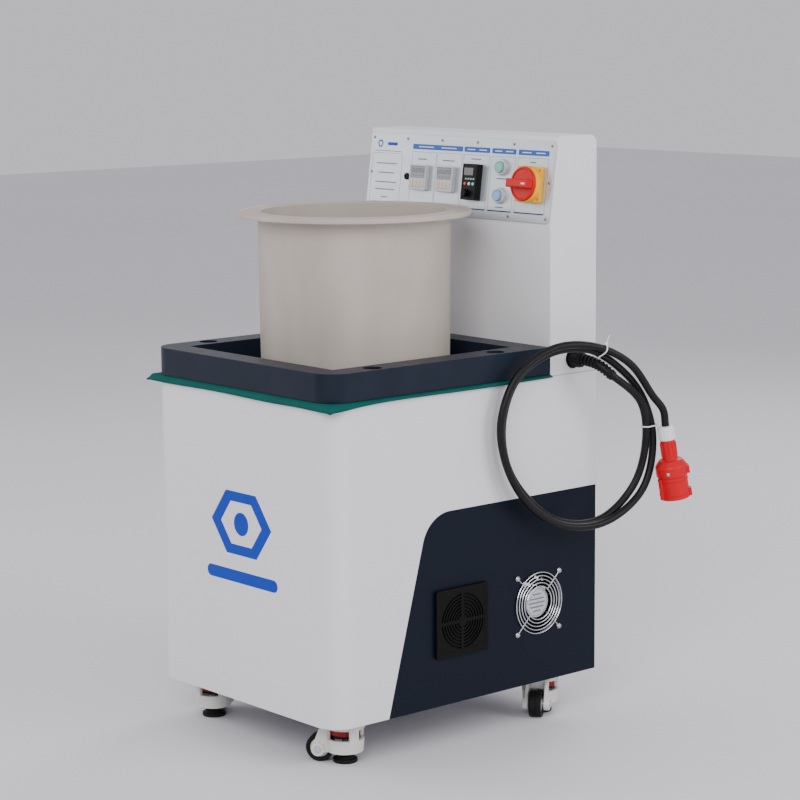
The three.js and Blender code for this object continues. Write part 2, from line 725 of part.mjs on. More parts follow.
function filterGrille() {
  const back = sideX + GAP;
  const front = back + grille.depth;
  const half = grille.size / 2;
  const recess = grille.recess / 2;
  const frame = cut(
    prism(roundedRectangle(grille.size, grille.size, 4), "x", back, front, 3),
    box(back - 1, front - grille.skin, -recess, recess, -recess, recess),
  );
  const pitch = (grille.recess / 2 - 6) / grille.rings;
  const slots = [];
  for (let i = 1; i <= grille.rings; i += 1) {
    slots.push(ring(i * pitch, i * pitch + pitch - grille.rib + 1, "x", back - 1, front + 1, 18));
  }
  const spokeHalf = grille.rib / 2;
  const spokes = [
    box(front - grille.skin, front, -half, half, -spokeHalf, spokeHalf),
    box(front - grille.skin, front, -spokeHalf, spokeHalf, -half, half),
  ];
  return piece("filter_grille", blackPlastic, moved(joined(cut(frame, slots), spokes), 0, vent.grilleY, ventZ));
}

function filterFoam() {
  const half = grille.recess / 2 - GAP;
  const back = sideX + 2 * GAP;
  const pad = box(back, back + foam.thickness, -half, half, -half, half);
  return piece("filter_foam", foamBlack, moved(pad, 0, vent.grilleY, ventZ));
}

function fanHoles(radius, from, to) {
  const half = fan.holeSpacing / 2;
  const places = [[-half, -half], [-half, half], [half, -half], [half, half]];
  return places.map(([y, z]) => moved(rod(radius, "x", from, to, 6), 0, y, z));
}

const fanFront = sideX - cabinet.wall - GAP;
const fanBack = fanFront - fan.depth;

function fanFrame() {
  const half = fan.size / 2;
  const frame = cut(
    prism(roundedRectangle(fan.size, fan.size, 6), "x", fanBack, fanFront, 3),
    rod(fan.boreRadius, "x", fanBack - 1, fanFront + 1, 24),
    fanHoles(2.2, fanBack - 1, fanFront + 1),
  );
  const hub = rod(fan.hubRadius, "x", fanFront - 9, fanFront - 1, 20);
  const strut = box(fanFront - 7, fanFront - 3, -half + 2, half - 2, -2.5, 2.5);
  const struts = [0, 60, 120].map((angle) => strut.rotate([angle + 15, 0, 0]));
  return piece("fan_frame", blackPlastic, moved(joined(frame, hub, struts), 0, vent.fanY, ventZ));
}

function fanRotor() {
  const front = fanFront - 9 - 1;
  const back = fanBack + 2;
  const hub = rod(fan.hubRadius - 5, "x", back, front, 24);
  const blade = box(back + 4, front - 4, -2, 2, fan.hubRadius - 8, fan.boreRadius - 2);
  const blades = [];
  for (let i = 0; i < fan.blades; i += 1) {
    const pitched = moved(blade.translate([-(back + front) / 2, 0, 0]).rotate([0, 0, 38]), (back + front) / 2, 0, 0);
    blades.push(pitched.rotate([(i * 360) / fan.blades, 0, 0]));
  }
  return piece("fan_rotor", blackPlastic, moved(joined(hub, blades), 0, vent.fanY, ventZ));
}

function wireRing(radius, x) {
  const geometry = new THREE.TorusGeometry(radius, guard.wire, 4, 18);
  return solidOf(geometry.rotateY(Math.PI / 2).translate(x, 0, 0));
}

function wireGuard() {
  const back = sideX + GAP;
  const legX = back + guard.wire;
  const ringX = legX + guard.wire * 1.6;
  const rings = guard.rings.map((radius) => wireRing(radius, ringX));
  const reach = (fan.holeSpacing / 2) * Math.SQRT2;
  const leg = moved(rod(guard.wire, "z", guard.rings[0] - 1, reach - guard.eyeRadius + 1, 4), legX, 0, 0);
  const eye = moved(ring(2.4, guard.eyeRadius, "x", back, back + guard.wire * 2, 8), 0, 0, reach);
  const legs = [45, 135, 225, 315].map((angle) => joined(leg, eye).rotate([angle, 0, 0]));
  return piece("fan_guard", zinc, moved(joined(rings, legs), 0, vent.fanY, ventZ));
}

// ---- Castors ----

// A castor is drawn with its swivel axis at x = y = 0, the floor at z = 0, trailing towards +x.
function castorPlate() {
  const half = castor.plate / 2;
  const bottom = castor.height - castor.plateThickness;
  const hubBottom = bottom - castor.hubHeight;
  const bolts = [];
  for (const x of [-27, 27]) {
    for (const y of [-27, 27]) bolts.push(moved(rod(4.2, "z", bottom - 1, castor.height + 1, 6), x, y, 0));
  }
  const stemRoom = rod(foot.stemRadius + 2, "z", hubBottom - 1, bottom, 12);
  return cut(
    joined(
      box(-half, half, -half, half, bottom, castor.height),
      rod(castor.hubRadius, "z", hubBottom, bottom + 1, 16),
    ),
    stemRoom,
    bolts,
  );
}

function forkArm(side) {
  const { inner, arm, boss, bossRadius } = castorFork;
  const root = 24.5;
  const top = castor.height - castor.plateThickness - GAP;
  const { radius } = castorWheel;
  const web = polygon([
    [top, root],
    [top, root + 12],
    [radius + 5, wheelOffset + bossRadius - 1],
    [radius - 8, wheelOffset],
    [radius - 3, root],
  ]);
  const [y0, y1] = side > 0 ? [inner, inner + arm] : [-inner - arm, -inner];
  const [b0, b1] = side > 0 ? [inner, inner + arm + boss] : [-inner - arm - boss, -inner];
  return joined(prism(web, "y", y0, y1), moved(rod(bossRadius, "y", b0, b1, 12), wheelOffset, 0, radius));
}

function windowWedge(middle, width) {
  const reach = 60;
  const at = (degrees) => {
    const angle = THREE.MathUtils.degToRad(degrees);
    return [reach * Math.cos(angle), reach * Math.sin(angle)];
  };
  const corners = [[0, 0], at(middle - width / 2), at(middle + width / 2)];
  return prism(polygon(corners), "z", thumbWheel.low - 2, thumbWheel.high + 2);
}

function castorHousingSolid() {
  const { topRadius, bottomRadius, bottom, wall, roof } = castorHousing;
  const top = castor.height - castor.plateThickness - GAP;
  const inner = bottomRadius - wall;
  const shell = turned(
    [
      [inner, bottom],
      [bottomRadius, bottom],
      [topRadius, top],
      [castor.hubRadius + RUNNING, top],
      [castor.hubRadius + RUNNING, top - roof],
      [inner, top - roof],
    ],
    "z",
    20,
  );
  const { inner: half, arm } = castorFork;
  const bridge = box(24.5, 36, -half - arm, half + arm, top - roof, top);
  const clearance = moved(
    rod(castorWheel.radius + 2.5, "y", -half + 0.4, half - 0.4, 16),
    wheelOffset, 0, castorWheel.radius,
  );
  const axleBore = moved(
    rod(castorWheel.axleRadius + GAP, "y", -40, 40, 10), wheelOffset, 0, castorWheel.radius,
  );
  const windows = [windowWedge(77, 80), windowWedge(-77, 80), windowWedge(180, 64)];
  return cut(joined(shell, bridge, forkArm(1), forkArm(-1)), clearance, axleBore, windows);
}

function castorAxle() {
  const reach = castorFork.inner + castorFork.arm + castorFork.boss;
  const pin = rod(castorWheel.axleRadius, "y", -reach - 1, reach + 1, 12);
  const heads = [
    rod(7, "y", reach + GAP, reach + GAP + 2, 12),
    rod(7, "y", -reach - GAP - 2, -reach - GAP, 12),
  ];
  return moved(joined(pin, heads), wheelOffset, 0, castorWheel.radius);
}

function castorWheelSolid() {
  const { radius, width, chamfer, axleRadius } = castorWheel;
  const w = width / 2;
  const bore = axleRadius + RUNNING;
  const profile = [
    [bore, -w],
    [radius - chamfer, -w],
    [radius, -w + chamfer],
    [radius, w - chamfer],
    [radius - chamfer, w],
    [bore, w],
  ];
  return moved(turned(profile, "y", 22), wheelOffset, 0, radius);
}

function thumbWheelSolid() {
  const { radius, low, high, teeth, toothDepth } = thumbWheel;
  const points = [];
  for (let i = 0; i < teeth * 2; i += 1) {
    const r = i % 2 ? radius - toothDepth : radius;
    const angle = (i * Math.PI) / teeth;
    points.push([r * Math.cos(angle), r * Math.sin(angle)]);
  }
  return cut(prism(polygon(points), "z", low, high), rod(foot.stemRadius + RUNNING, "z", low - 1, high + 1, 16));
}

function footSolid() {
  const { padRadius, padHeight, neckRadius, neckHeight, stemRadius, stemTop } = foot;
  return turned(
    [
      [0, 0],
      [padRadius - 1, 0],
      [padRadius, 1],
      [padRadius, padHeight],
      [neckRadius, padHeight],
      [neckRadius - 2, padHeight + neckHeight],
      [stemRadius, padHeight + neckHeight],
      [stemRadius, stemTop],
      [0, stemTop],
    ],
    "z",
    16,
  );
}

function castorPieces(place) {
  const name = `castor_${place.name}`;
  const group = gathered(
    piece(`${name}_plate`, castIvory, castorPlate().rotate([0, 0, -place.trail])),
    piece(`${name}_housing`, castIvory, castorHousingSolid()),
    piece(`${name}_axle`, steel, castorAxle()),
    piece(`${name}_wheel`, blackRubber, castorWheelSolid()),
    piece(`${name}_thumbwheel`, redPlastic, thumbWheelSolid()),
    piece(`${name}_foot`, blackRubber, footSolid()),
  );
  group.rotation.z = THREE.MathUtils.degToRad(place.trail);
  group.position.set(place.side * castor.placeX, place.end * castor.placeY, 0);
  return group;
}

// ---- Mains cord ----

const loopTurn = THREE.MathUtils.degToRad(cord.turnDegrees);

// A point in the plane of the loops: along it, up it and out of it, from the middle of the loops.
function onLoops(along, up, out) {
  const [x, y, z] = [sideX + loops.besideWall, glandY - loops.beforeGland, glandZ - loops.belowGland];
  return new THREE.Vector3(
    x + along * Math.sin(loopTurn) + out * Math.cos(loopTurn),
    y + along * Math.cos(loopTurn) - out * Math.sin(loopTurn),
    z + up,
  );
}

function loopPoints() {
  return cordRadii.map((radius, i) => {
    const angle = THREE.MathUtils.degToRad(cord.startDegrees - i * cord.stepDegrees);
    return onLoops(radius * Math.cos(angle), radius * Math.sin(angle), cordSides[i]);
  });
}

const plugAxisStart = onLoops(plugTop.along, plugTop.up, plugTop.out);
const plugTilt = THREE.MathUtils.degToRad(plugTop.tiltDegrees);
const plugDirection = onLoops(Math.sin(plugTilt), -Math.cos(plugTilt), 0).sub(onLoops(0, 0, 0));

function roundSection(radius, sides) {
  const points = [];
  for (let i = 0; i < sides; i += 1) {
    const angle = (i * 2 * Math.PI) / sides;
    points.push([radius * Math.cos(angle), radius * Math.sin(angle)]);
  }
  return polygon(points);
}

// The bend from straight out of the gland to rearwards and down.
function bendPoints() {
  const fall = THREE.MathUtils.degToRad(leaving.fallDegrees);
  return [0, 0.5, 1].map((share) => {
    const angle = THREE.MathUtils.degToRad(leaving.degrees) * share;
    const aside = leaving.bend * (1 - Math.cos(angle));
    return new THREE.Vector3(
      sideX + glandNose + leaving.straight + leaving.bend * Math.sin(angle),
      glandY + aside * Math.cos(fall),
      glandZ - aside * Math.sin(fall),
    );
  });
}

// The cord's middle line, from the wall through the gland to the plug's nut.
function cordLine() {
  const inGland = [0, glandNose - 12].map((out) => new THREE.Vector3(sideX + out, glandY, glandZ));
  const arriving = [-30, -GAP].map((back) => plugAxisStart.clone().addScaledVector(plugDirection, back));
  const points = [...inGland, ...bendPoints(), ...loopPoints(), ...arriving];
  return new THREE.CatmullRomCurve3(points, false, "centripetal");
}

// A stretch of a longer curve, between two distances along it.
class Stretch extends THREE.Curve {
  constructor(whole, from, to) {
    super();
    this.whole = whole;
    this.from = from / whole.getLength();
    this.to = to / whole.getLength();
  }

  getPoint(t, target) {
    return this.whole.getPointAt(this.from + (this.to - this.from) * t, target);
  }
}

function tubeAlong(curve, from, to, radius, sides, steps) {
  const extrudePath = new Stretch(curve, from, to);
  return solidOf(new THREE.ExtrudeGeometry(roundSection(radius, sides), { steps, extrudePath }));
}

const line = cordLine();
line.arcLengthDivisions = 2000;
const reliefStart = glandNose + GAP;
const reliefEnd = reliefStart + relief.length;

function mainsCord() {
  const solid = tubeAlong(line, reliefEnd + GAP, line.getLength(), cord.radius, 8, 66);
  return piece("mains_cord", blackRubber, solid);
}

// The bend protector curves from the gland's nose to where the loops begin.
function strainRelief() {
  return piece("strain_relief", blackRubber, tubeAlong(line, reliefStart, reliefEnd, relief.radius, 10, 12));
}

function cordGland() {
  const { hexRadius, hexDepth, threadRadius, threadInside } = gland;
  const outside = sideX + GAP;
  const solid = joined(
    rod(hexRadius, "x", outside, outside + hexDepth, 6),
    rod(threadRadius, "x", sideX - threadInside, outside + 1, 20),
    turned(
      [
        [0, outside + hexDepth - 1],
        [glandDome.radius, outside + hexDepth - 1],
        [glandDome.radius, outside + hexDepth + glandDome.depth - 4],
        [glandDome.radius - 4, outside + hexDepth + glandDome.depth],
        [0, outside + hexDepth + glandDome.depth],
      ],
      "x",
      20,
    ),
  );
  return piece("cord_gland", blackPlastic, moved(solid, 0, glandY, glandZ));
}

// Along the plug's own axis, from its nut to its mouth.
function alongPlug(solid) {
  const turn = new THREE.Quaternion().setFromUnitVectors(new THREE.Vector3(0, 0, 1), plugDirection);
  const matrix = new THREE.Matrix4().compose(plugAxisStart, turn, new THREE.Vector3(1, 1, 1));
  return solid.transform(matrix.toArray());
}

function plugPieces() {
  const { nutRadius, nutLength, neckRadius, neckLength, bodyRadius } = plug;
  const { collarRadius, collarLength, length, wall, mouthDepth } = plugBody;
  const nut = turned(
    [[0, 0], [nutRadius - 3, 0], [nutRadius, 5], [nutRadius, nutLength], [0, nutLength]],
    "z",
    16,
  );
  const neckTop = nutLength + GAP;
  const bodyTop = neckTop + neckLength;
  const mouth = bodyTop + length;
  const body = turned(
    [
      [0, neckTop],
      [neckRadius, neckTop],
      [neckRadius + 1, bodyTop],
      [collarRadius, bodyTop + 10],
      [collarRadius, bodyTop + 10 + collarLength],
      [bodyRadius, bodyTop + 10 + collarLength],
      [bodyRadius, mouth],
      [bodyRadius - wall, mouth],
      [bodyRadius - wall, mouth - mouthDepth],
      [0, mouth - mouthDepth],
    ],
    "z",
    24,
  );
  return [
    piece("plug_nut", plugWhite, alongPlug(nut)),
    piece("plug_body", plugRed, alongPlug(body)),
  ];
}

// ---- The whole machine ----

const machine = gathered(
  baseFrame(),
  motorBridge(),
  cabinetShell(),
  rearCover(),
  deckPlate(),
  driveMotor(),
  motorShaft(),
  magnetDiscPiece(),
  inverterDrive(),
  rubberMat(),
  trayFrame(),
  tubPiece(),
  towerShell(),
  towerRearCover(),
  controlPanel(),
  timer.places.map(timerPiece),
  buzzerPiece(),
  keypadPieces(),
  pushButtonPieces("start", greenButton, buttonRises.start),
  pushButtonPieces("stop", blueButton, buttonRises.stop),
  isolatorPieces(),
  filterGrille(),
  filterFoam(),
  fanFrame(),
  fanRotor(),
  wireGuard(),
  castors.map(castorPieces),
  cordGland(),
  strainRelief(),
  mainsCord(),
  plugPieces(),
);
machine.position.y = mat.overhang / 2;

export default gathered(machine);
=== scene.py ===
"""A magnetic polishing tumbler: painted cabinet on levelling castors, plastic tub, control tower and cord.

Shapes are worked out in millimetres in the CAD frame and written into the meshes in metres.
"""

import math
from types import SimpleNamespace

import bmesh
import bpy
from mathutils import Matrix, Vector


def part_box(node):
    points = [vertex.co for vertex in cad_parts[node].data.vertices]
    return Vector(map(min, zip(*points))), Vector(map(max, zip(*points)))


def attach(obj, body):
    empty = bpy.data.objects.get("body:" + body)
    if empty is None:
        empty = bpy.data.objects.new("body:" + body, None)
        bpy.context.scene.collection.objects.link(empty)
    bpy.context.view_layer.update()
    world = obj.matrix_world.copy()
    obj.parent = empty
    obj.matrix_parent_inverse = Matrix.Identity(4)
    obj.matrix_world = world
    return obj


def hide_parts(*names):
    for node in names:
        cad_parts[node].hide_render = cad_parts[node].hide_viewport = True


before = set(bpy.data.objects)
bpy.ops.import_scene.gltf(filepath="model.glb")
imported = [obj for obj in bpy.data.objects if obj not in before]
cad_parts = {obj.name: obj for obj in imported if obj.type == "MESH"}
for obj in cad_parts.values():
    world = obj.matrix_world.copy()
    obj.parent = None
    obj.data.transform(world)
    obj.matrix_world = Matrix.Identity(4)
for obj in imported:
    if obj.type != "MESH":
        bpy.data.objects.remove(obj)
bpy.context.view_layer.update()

MM = 0.001
UP = (0, 0, 1)

# ---- Driving dimensions, in millimetres ----

CORNER = 45  # radius of the cabinet's and the tray's front corners
SHEET = 2
LEAN = math.radians(7.45)
SHOULDER = 274.6  # where the tower starts to lean, above its foot
TOWER_REAR = 17
ZONE_TOP = 351.6  # top of the navy zone, above the cabinet's underside
ZONE_FOOT = 124.5  # where its slanting edge meets the underside, behind the front
ZONE_SLANT = 0.267
ZONE_CORNER = 66
MAT_DROOP = 9
CORD_RADIUS = 7
GLAND_HEX = 9
GLAND_DOME = 18
RELIEF_LENGTH = 66


def node(name):
    """A CAD node's box in millimetres, as x0, x1, y0, y1, z0, z1 and its middle x, y, z."""
    low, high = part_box(name)
    x0, y0, z0 = (value / MM for value in low)
    x1, y1, z1 = (value / MM for value in high)
    middle = {"x": (x0 + x1) / 2, "y": (y0 + y1) / 2, "z": (z0 + z1) / 2}
    return SimpleNamespace(x0=x0, x1=x1, y0=y0, y1=y1, z0=z0, z1=z1, **middle)


# ---- Materials ----


def rgb(red, green, blue):
    """A screen colour, 0 to 255, as the linear colour that a shader takes."""

    def linear(value):
        value /= 255
        return value / 12.92 if value <= 0.04045 else ((value + 0.055) / 1.055) ** 2.4

    return (linear(red), linear(green), linear(blue), 1.0)


def scaled(colour, factor):
    return tuple(min(1.0, channel * factor) for channel in colour[:3]) + (1.0,)


def surface(
    name, colour, roughness, metallic=0.0, coat=0.0, grain=(900, 0.05), mottle=(9, 0.05),
    uneven=0.06, stretch=(1, 1, 1), sheen=0.0, specular=0.3,
):
    """A procedural finish: fine grain as bump, slow mottling of the colour, and uneven gloss."""
    material = bpy.data.materials.new(name)
    material.use_nodes = True
    nodes, links = material.node_tree.nodes, material.node_tree.links
    shader = nodes["Principled BSDF"]
    shader.inputs["Metallic"].default_value = metallic
    shader.inputs["Specular IOR Level"].default_value = 0.5 if metallic else specular
    shader.inputs["Coat Weight"].default_value = coat
    shader.inputs["Coat Roughness"].default_value = 0.12
    shader.inputs["Sheen Weight"].default_value = sheen
    where = nodes.new("ShaderNodeTexCoord")
    mapping = nodes.new("ShaderNodeMapping")
    mapping.inputs["Scale"].default_value = stretch
    links.new(where.outputs["Object"], mapping.inputs["Vector"])

    def noise(scale, detail):
        texture = nodes.new("ShaderNodeTexNoise")
        texture.inputs["Scale"].default_value = scale
        texture.inputs["Detail"].default_value = detail
        links.new(mapping.outputs["Vector"], texture.inputs["Vector"])
        return texture.outputs["Fac"]

    def ramp(source, low, high, start=0.3, stop=0.7):
        blend = nodes.new("ShaderNodeValToRGB")
        blend.color_ramp.elements[0].position = start
        blend.color_ramp.elements[1].position = stop
        blend.color_ramp.elements[0].color = low
        blend.color_ramp.elements[1].color = high
        links.new(source, blend.inputs["Fac"])
        return blend.outputs["Color"]

    scale, depth = mottle
    tint = ramp(noise(scale, 5), scaled(colour, 1 - depth), scaled(colour, 1 + depth))
    links.new(tint, shader.inputs["Base Color"])
    gloss = nodes.new("ShaderNodeMapRange")
    gloss.inputs["To Min"].default_value = max(0.05, roughness - uneven)
    gloss.inputs["To Max"].default_value = min(1.0, roughness + uneven)
    links.new(noise(scale * 4, 3), gloss.inputs["Value"])
    links.new(gloss.outputs["Result"], shader.inputs["Roughness"])
    fineness, strength = grain
    bump = nodes.new("ShaderNodeBump")
    bump.inputs["Strength"].default_value = strength
    bump.inputs["Distance"].default_value = 0.0006
    links.new(noise(fineness, 2), bump.inputs["Height"])
    links.new(bump.outputs["Normal"], shader.inputs["Normal"])
    return material


WHITE = surface("white_powder_coat", rgb(226, 225, 228), 0.42, grain=(650, 0.10), mottle=(3, 0.015), coat=0.15)
NAVY = surface("navy_zone_paint", rgb(18, 24, 36), 0.42, grain=(650, 0.10), mottle=(3, 0.06), specular=0.1)
TRAY_NAVY = surface("tray_navy_paint", rgb(25, 33, 46), 0.38, grain=(420, 0.16), mottle=(14, 0.12), specular=0.16)
GREEN = surface("green_rubber", rgb(4, 84, 78), 0.75, grain=(1500, 0.35), mottle=(20, 0.10), specular=0.12)
TUB_GREY = surface(
    "grey_moulding", rgb(182, 172, 162), 0.5, grain=(300, 0.14), mottle=(16, 0.07), stretch=(1, 1, 0.35),
)
STEEL = surface("frame_steel", rgb(150, 152, 156), 0.42, metallic=0.9, grain=(500, 0.15), mottle=(20, 0.12))
ZINC = surface("bright_zinc", rgb(205, 207, 212), 0.24, metallic=1.0, grain=(900, 0.06), mottle=(40, 0.08))
ALUMINIUM = surface(
    "brushed_aluminium", rgb(196, 202, 208), 0.42, metallic=0.55, grain=(900, 0.22), mottle=(30, 0.04),
    stretch=(0.12, 1, 1),
)
MOTOR_BLUE = surface("motor_paint", rgb(58, 84, 112), 0.45, grain=(350, 0.3), mottle=(18, 0.08))
BLACK = surface("black_moulding", rgb(15, 15, 16), 0.48, grain=(1300, 0.2), mottle=(30, 0.15), specular=0.16)
GRILLE_BLACK = surface("grille_black", rgb(9, 9, 9), 0.55, grain=(1500, 0.25), mottle=(30, 0.15), specular=0.12)
RUBBER = surface("cord_rubber", rgb(13, 13, 14), 0.42, grain=(700, 0.16), mottle=(60, 0.2), specular=0.25)
TREAD = surface("tread_rubber", rgb(20, 20, 21), 0.6, grain=(900, 0.3), mottle=(60, 0.2), specular=0.16)
FOAM = surface("filter_foam", rgb(9, 9, 9), 0.95, grain=(420, 1.0), mottle=(300, 0.5))
IVORY = surface("ivory_casting", rgb(216, 214, 208), 0.4, grain=(900, 0.12), mottle=(45, 0.06), coat=0.1)
DARK_RED = surface("thumbwheel_red", rgb(142, 8, 16), 0.38, grain=(1200, 0.12), mottle=(60, 0.12))
KNOB_RED = surface("isolator_red", rgb(200, 12, 14), 0.32, grain=(1400, 0.08), mottle=(50, 0.06), specular=0.2)
PLUG_RED = surface("plug_red", rgb(204, 12, 28), 0.38, grain=(1100, 0.14), mottle=(50, 0.06), specular=0.2)
PLUG_WHITE = surface("plug_white", rgb(232, 232, 232), 0.35, grain=(1200, 0.10), mottle=(50, 0.03))
YELLOW = surface("isolator_yellow", rgb(248, 180, 40), 0.36, grain=(1300, 0.12), mottle=(50, 0.05), specular=0.2)
GREEN_CAP = surface("green_button", rgb(104, 182, 168), 0.3, grain=(1300, 0.06), mottle=(80, 0.06), coat=0.4)
BLUE_CAP = surface("blue_button", rgb(118, 160, 208), 0.3, grain=(1300, 0.06), mottle=(80, 0.06), coat=0.4)
BEZEL_GREY = surface("button_bezel", rgb(205, 208, 212), 0.32, metallic=0.35, grain=(1300, 0.06), mottle=(80, 0.05))
PRINT_BLUE = surface("print_blue", rgb(12, 84, 176), 0.4, grain=(1600, 0.05), mottle=(50, 0.04))
PRINT_DARK = surface("print_dark", rgb(26, 32, 76), 0.5, grain=(1600, 0.05), mottle=(50, 0.08))
PRINT_GREY = surface("print_grey", rgb(120, 124, 130), 0.5, grain=(1600, 0.05), mottle=(50, 0.08))
EMBLEM_BLUE = surface("emblem_blue", rgb(14, 60, 172), 0.4, grain=(1600, 0.05), mottle=(30, 0.04), specular=0.15)
TIMER_GREY = surface("timer_grey", rgb(196, 198, 202), 0.4, grain=(1600, 0.10), mottle=(60, 0.04))
TIMER_DARK = surface("timer_window", rgb(112, 114, 124), 0.16, grain=(1600, 0.02), mottle=(60, 0.08), coat=0.5)
TIMER_KEYS = surface("timer_keys", rgb(214, 198, 182), 0.45, grain=(1600, 0.10), mottle=(60, 0.05))
KEY_RED = surface("key_red", rgb(214, 70, 60), 0.35, grain=(1600, 0.05), mottle=(60, 0.05))
KEY_WHITE = surface("key_white", rgb(226, 228, 230), 0.35, grain=(1600, 0.05), mottle=(60, 0.03))
KEY_BLUE = surface("key_blue", rgb(150, 190, 226), 0.35, grain=(1600, 0.05), mottle=(60, 0.03))
LAMP_GREEN = surface("lamp_green", rgb(120, 190, 160), 0.25, grain=(1600, 0.05), mottle=(60, 0.03))
SCREEN = surface("keypad_screen", rgb(54, 34, 30), 0.15, grain=(1600, 0.02), mottle=(60, 0.10), coat=0.5)
TIE_WHITE = surface("cable_tie", rgb(236, 236, 236), 0.35, grain=(1600, 0.05), mottle=(60, 0.02))
LABEL_SILVER = surface("fan_label", rgb(200, 202, 206), 0.35, metallic=0.5, grain=(900, 0.05), mottle=(60, 0.08))


# ---- Shapes ----


def place(origin, across, up):
    """The frame at origin whose x runs across and whose y runs up; a plate in it grows along across x up."""
    across, up = Vector(across).normalized(), Vector(up).normalized()
    turned = Matrix((across, up, across.cross(up))).transposed().to_4x4()
    turned.translation = Vector(origin)
    return Matrix.Scale(MM, 4) @ turned


def on_top(x, y, z):
    return place((x, y, z), (1, 0, 0), (0, 1, 0))


def on_right(x, y, z):
    return place((x, y, z), (0, 1, 0), UP)


def on_left(x, y, z):
    return place((x, y, z), (0, -1, 0), UP)


def on_front(x, y, z):
    return place((x, y, z), (1, 0, 0), UP)


def on_back(x, y, z):
    return place((x, y, z), (-1, 0, 0), UP)


def along(origin, direction):
    """The frame at origin whose z runs along direction."""
    direction = Vector(direction).normalized()
    turned = direction.to_track_quat("Z", "Y").to_matrix().to_4x4()
    turned.translation = Vector(origin)
    return Matrix.Scale(MM, 4) @ turned


def rounded(corners, steps=8):
    """An outline of (u, v, radius) corners with each corner turned into an arc."""
    line = []
    for i, (u, v, radius) in enumerate(corners):
        here = Vector((u, v))
        if radius <= 0:
            line.append(here)
            continue
        before = (Vector(corners[i - 1][:2]) - here).normalized()
        after = (Vector(corners[(i + 1) % len(corners)][:2]) - here).normalized()
        half = before.angle(after) / 2
        centre = here + (before + after).normalized() * (radius / math.sin(half))
        reach = radius / math.tan(half)
        start = here + before * reach - centre
        stop = here + after * reach - centre
        first = math.atan2(start.y, start.x)
        sweep = (math.atan2(stop.y, stop.x) - first + math.pi) % (2 * math.pi) - math.pi
        for step in range(steps + 1):
            angle = first + sweep * step / steps
            line.append(centre + radius * Vector((math.cos(angle), math.sin(angle))))
    return line


def rectangle(width, height, radius=0, x=0, y=0, steps=8):
    w, h = width / 2, height / 2
    corners = [(x - w, y - h, radius), (x + w, y - h, radius), (x + w, y + h, radius), (x - w, y + h, radius)]
    return rounded(corners, steps)


def circle(radius, x=0, y=0, steps=48):
    angles = [2 * math.pi * i / steps for i in range(steps)]
    return [Vector((x + radius * math.cos(a), y + radius * math.sin(a))) for a in angles]


def slot_outline(width, height, x=0, y=0):
    return rectangle(width, height, min(width, height) / 2 - 0.01, x, y, 5)


def cleaned(shape, frame_matrix):
    bmesh.ops.remove_doubles(shape, verts=shape.verts, dist=1e-3)
    bmesh.ops.dissolve_degenerate(shape, edges=shape.edges, dist=1e-4)
    bmesh.ops.recalc_face_normals(shape, faces=shape.faces)
    shape.transform(frame_matrix)
    mesh = bpy.data.meshes.new("shape")
    shape.to_mesh(mesh)
    shape.free()
    return mesh


def plate(outline, thickness, where, holes=(), edge=0.0, steps=2):
    """A flat sheet with an outline and holes, its edges rounded by edge, standing on where's plane."""
    curve = bpy.data.curves.new("outline", "CURVE")
    curve.dimensions = "2D"
    curve.fill_mode = "BOTH"
    curve.extrude = thickness / 2 - edge
    curve.bevel_depth = edge
    curve.bevel_resolution = steps
    curve.offset = -edge
    for line in (outline, *holes):
        spline = curve.splines.new("POLY")
        spline.points.add(len(line) - 1)
        spline.use_cyclic_u = True
        for point, (u, v) in zip(spline.points, line):
            point.co = (u, v, 0, 1)
    holder = bpy.data.objects.new("outline", curve)
    flat = bpy.data.meshes.new_from_object(holder)
    bpy.data.objects.remove(holder)
    bpy.data.curves.remove(curve)
    shape = bmesh.new()
    shape.from_mesh(flat)
    bpy.data.meshes.remove(flat)
    return cleaned(shape, where @ Matrix.Translation((0, 0, thickness / 2)))


def lathe(corners, where, segments=64, steps=4):
    """A profile of (radius, height, rounding) corners turned about where's z axis."""
    profile = rounded(corners, steps)
    shape = bmesh.new()
    rings = []
    for r, h in profile:
        if r < 1e-6:
            rings.append([shape.verts.new((0, 0, h))])
            continue
        angles = [2 * math.pi * i / segments for i in range(segments)]
        rings.append([shape.verts.new((r * math.cos(a), r * math.sin(a), h)) for a in angles])
    for ring, following in zip(rings, rings[1:] + rings[:1]):
        if len(ring) == len(following) == 1:
            continue
        for i in range(segments):
            j = (i + 1) % segments
            if len(ring) == 1:
                shape.faces.new((ring[0], following[j], following[i]))
            elif len(following) == 1:
                shape.faces.new((ring[i], ring[j], following[0]))
            else:
                shape.faces.new((ring[i], ring[j], following[j], following[i]))
    return cleaned(shape, where)


def rod(radius, length, where, edge=0.0, segments=32):
    return lathe([(0, 0, 0), (radius, 0, edge), (radius, length, edge), (0, length, 0)], where, segments)


def block(x0, x1, y0, y1, z0, z1, edge=0.5):
    outline = rectangle(x1 - x0, y1 - y0, edge, (x0 + x1) / 2, (y0 + y1) / 2, 3)
    return plate(outline, z1 - z0, on_top(0, 0, z0), edge=edge)


def tube(points, radius, closed=False, sides=3):
    """A round tube through points, with rounded ends left to its neighbours."""
    curve = bpy.data.curves.new("wire", "CURVE")
    curve.dimensions = "3D"
    curve.bevel_depth = radius
    curve.bevel_resolution = sides
    curve.use_fill_caps = True
    spline = curve.splines.new("POLY")
    spline.points.add(len(points) - 1)
    spline.use_cyclic_u = closed
    for point, (x, y, z) in zip(spline.points, points):
        point.co = (x, y, z, 1)
    holder = bpy.data.objects.new("wire", curve)
    bare = bpy.data.meshes.new_from_object(holder)
    bpy.data.objects.remove(holder)
    bpy.data.curves.remove(curve)
    shape = bmesh.new()
    shape.from_mesh(bare)
    bpy.data.meshes.remove(bare)
    return cleaned(shape, Matrix.Scale(MM, 4))


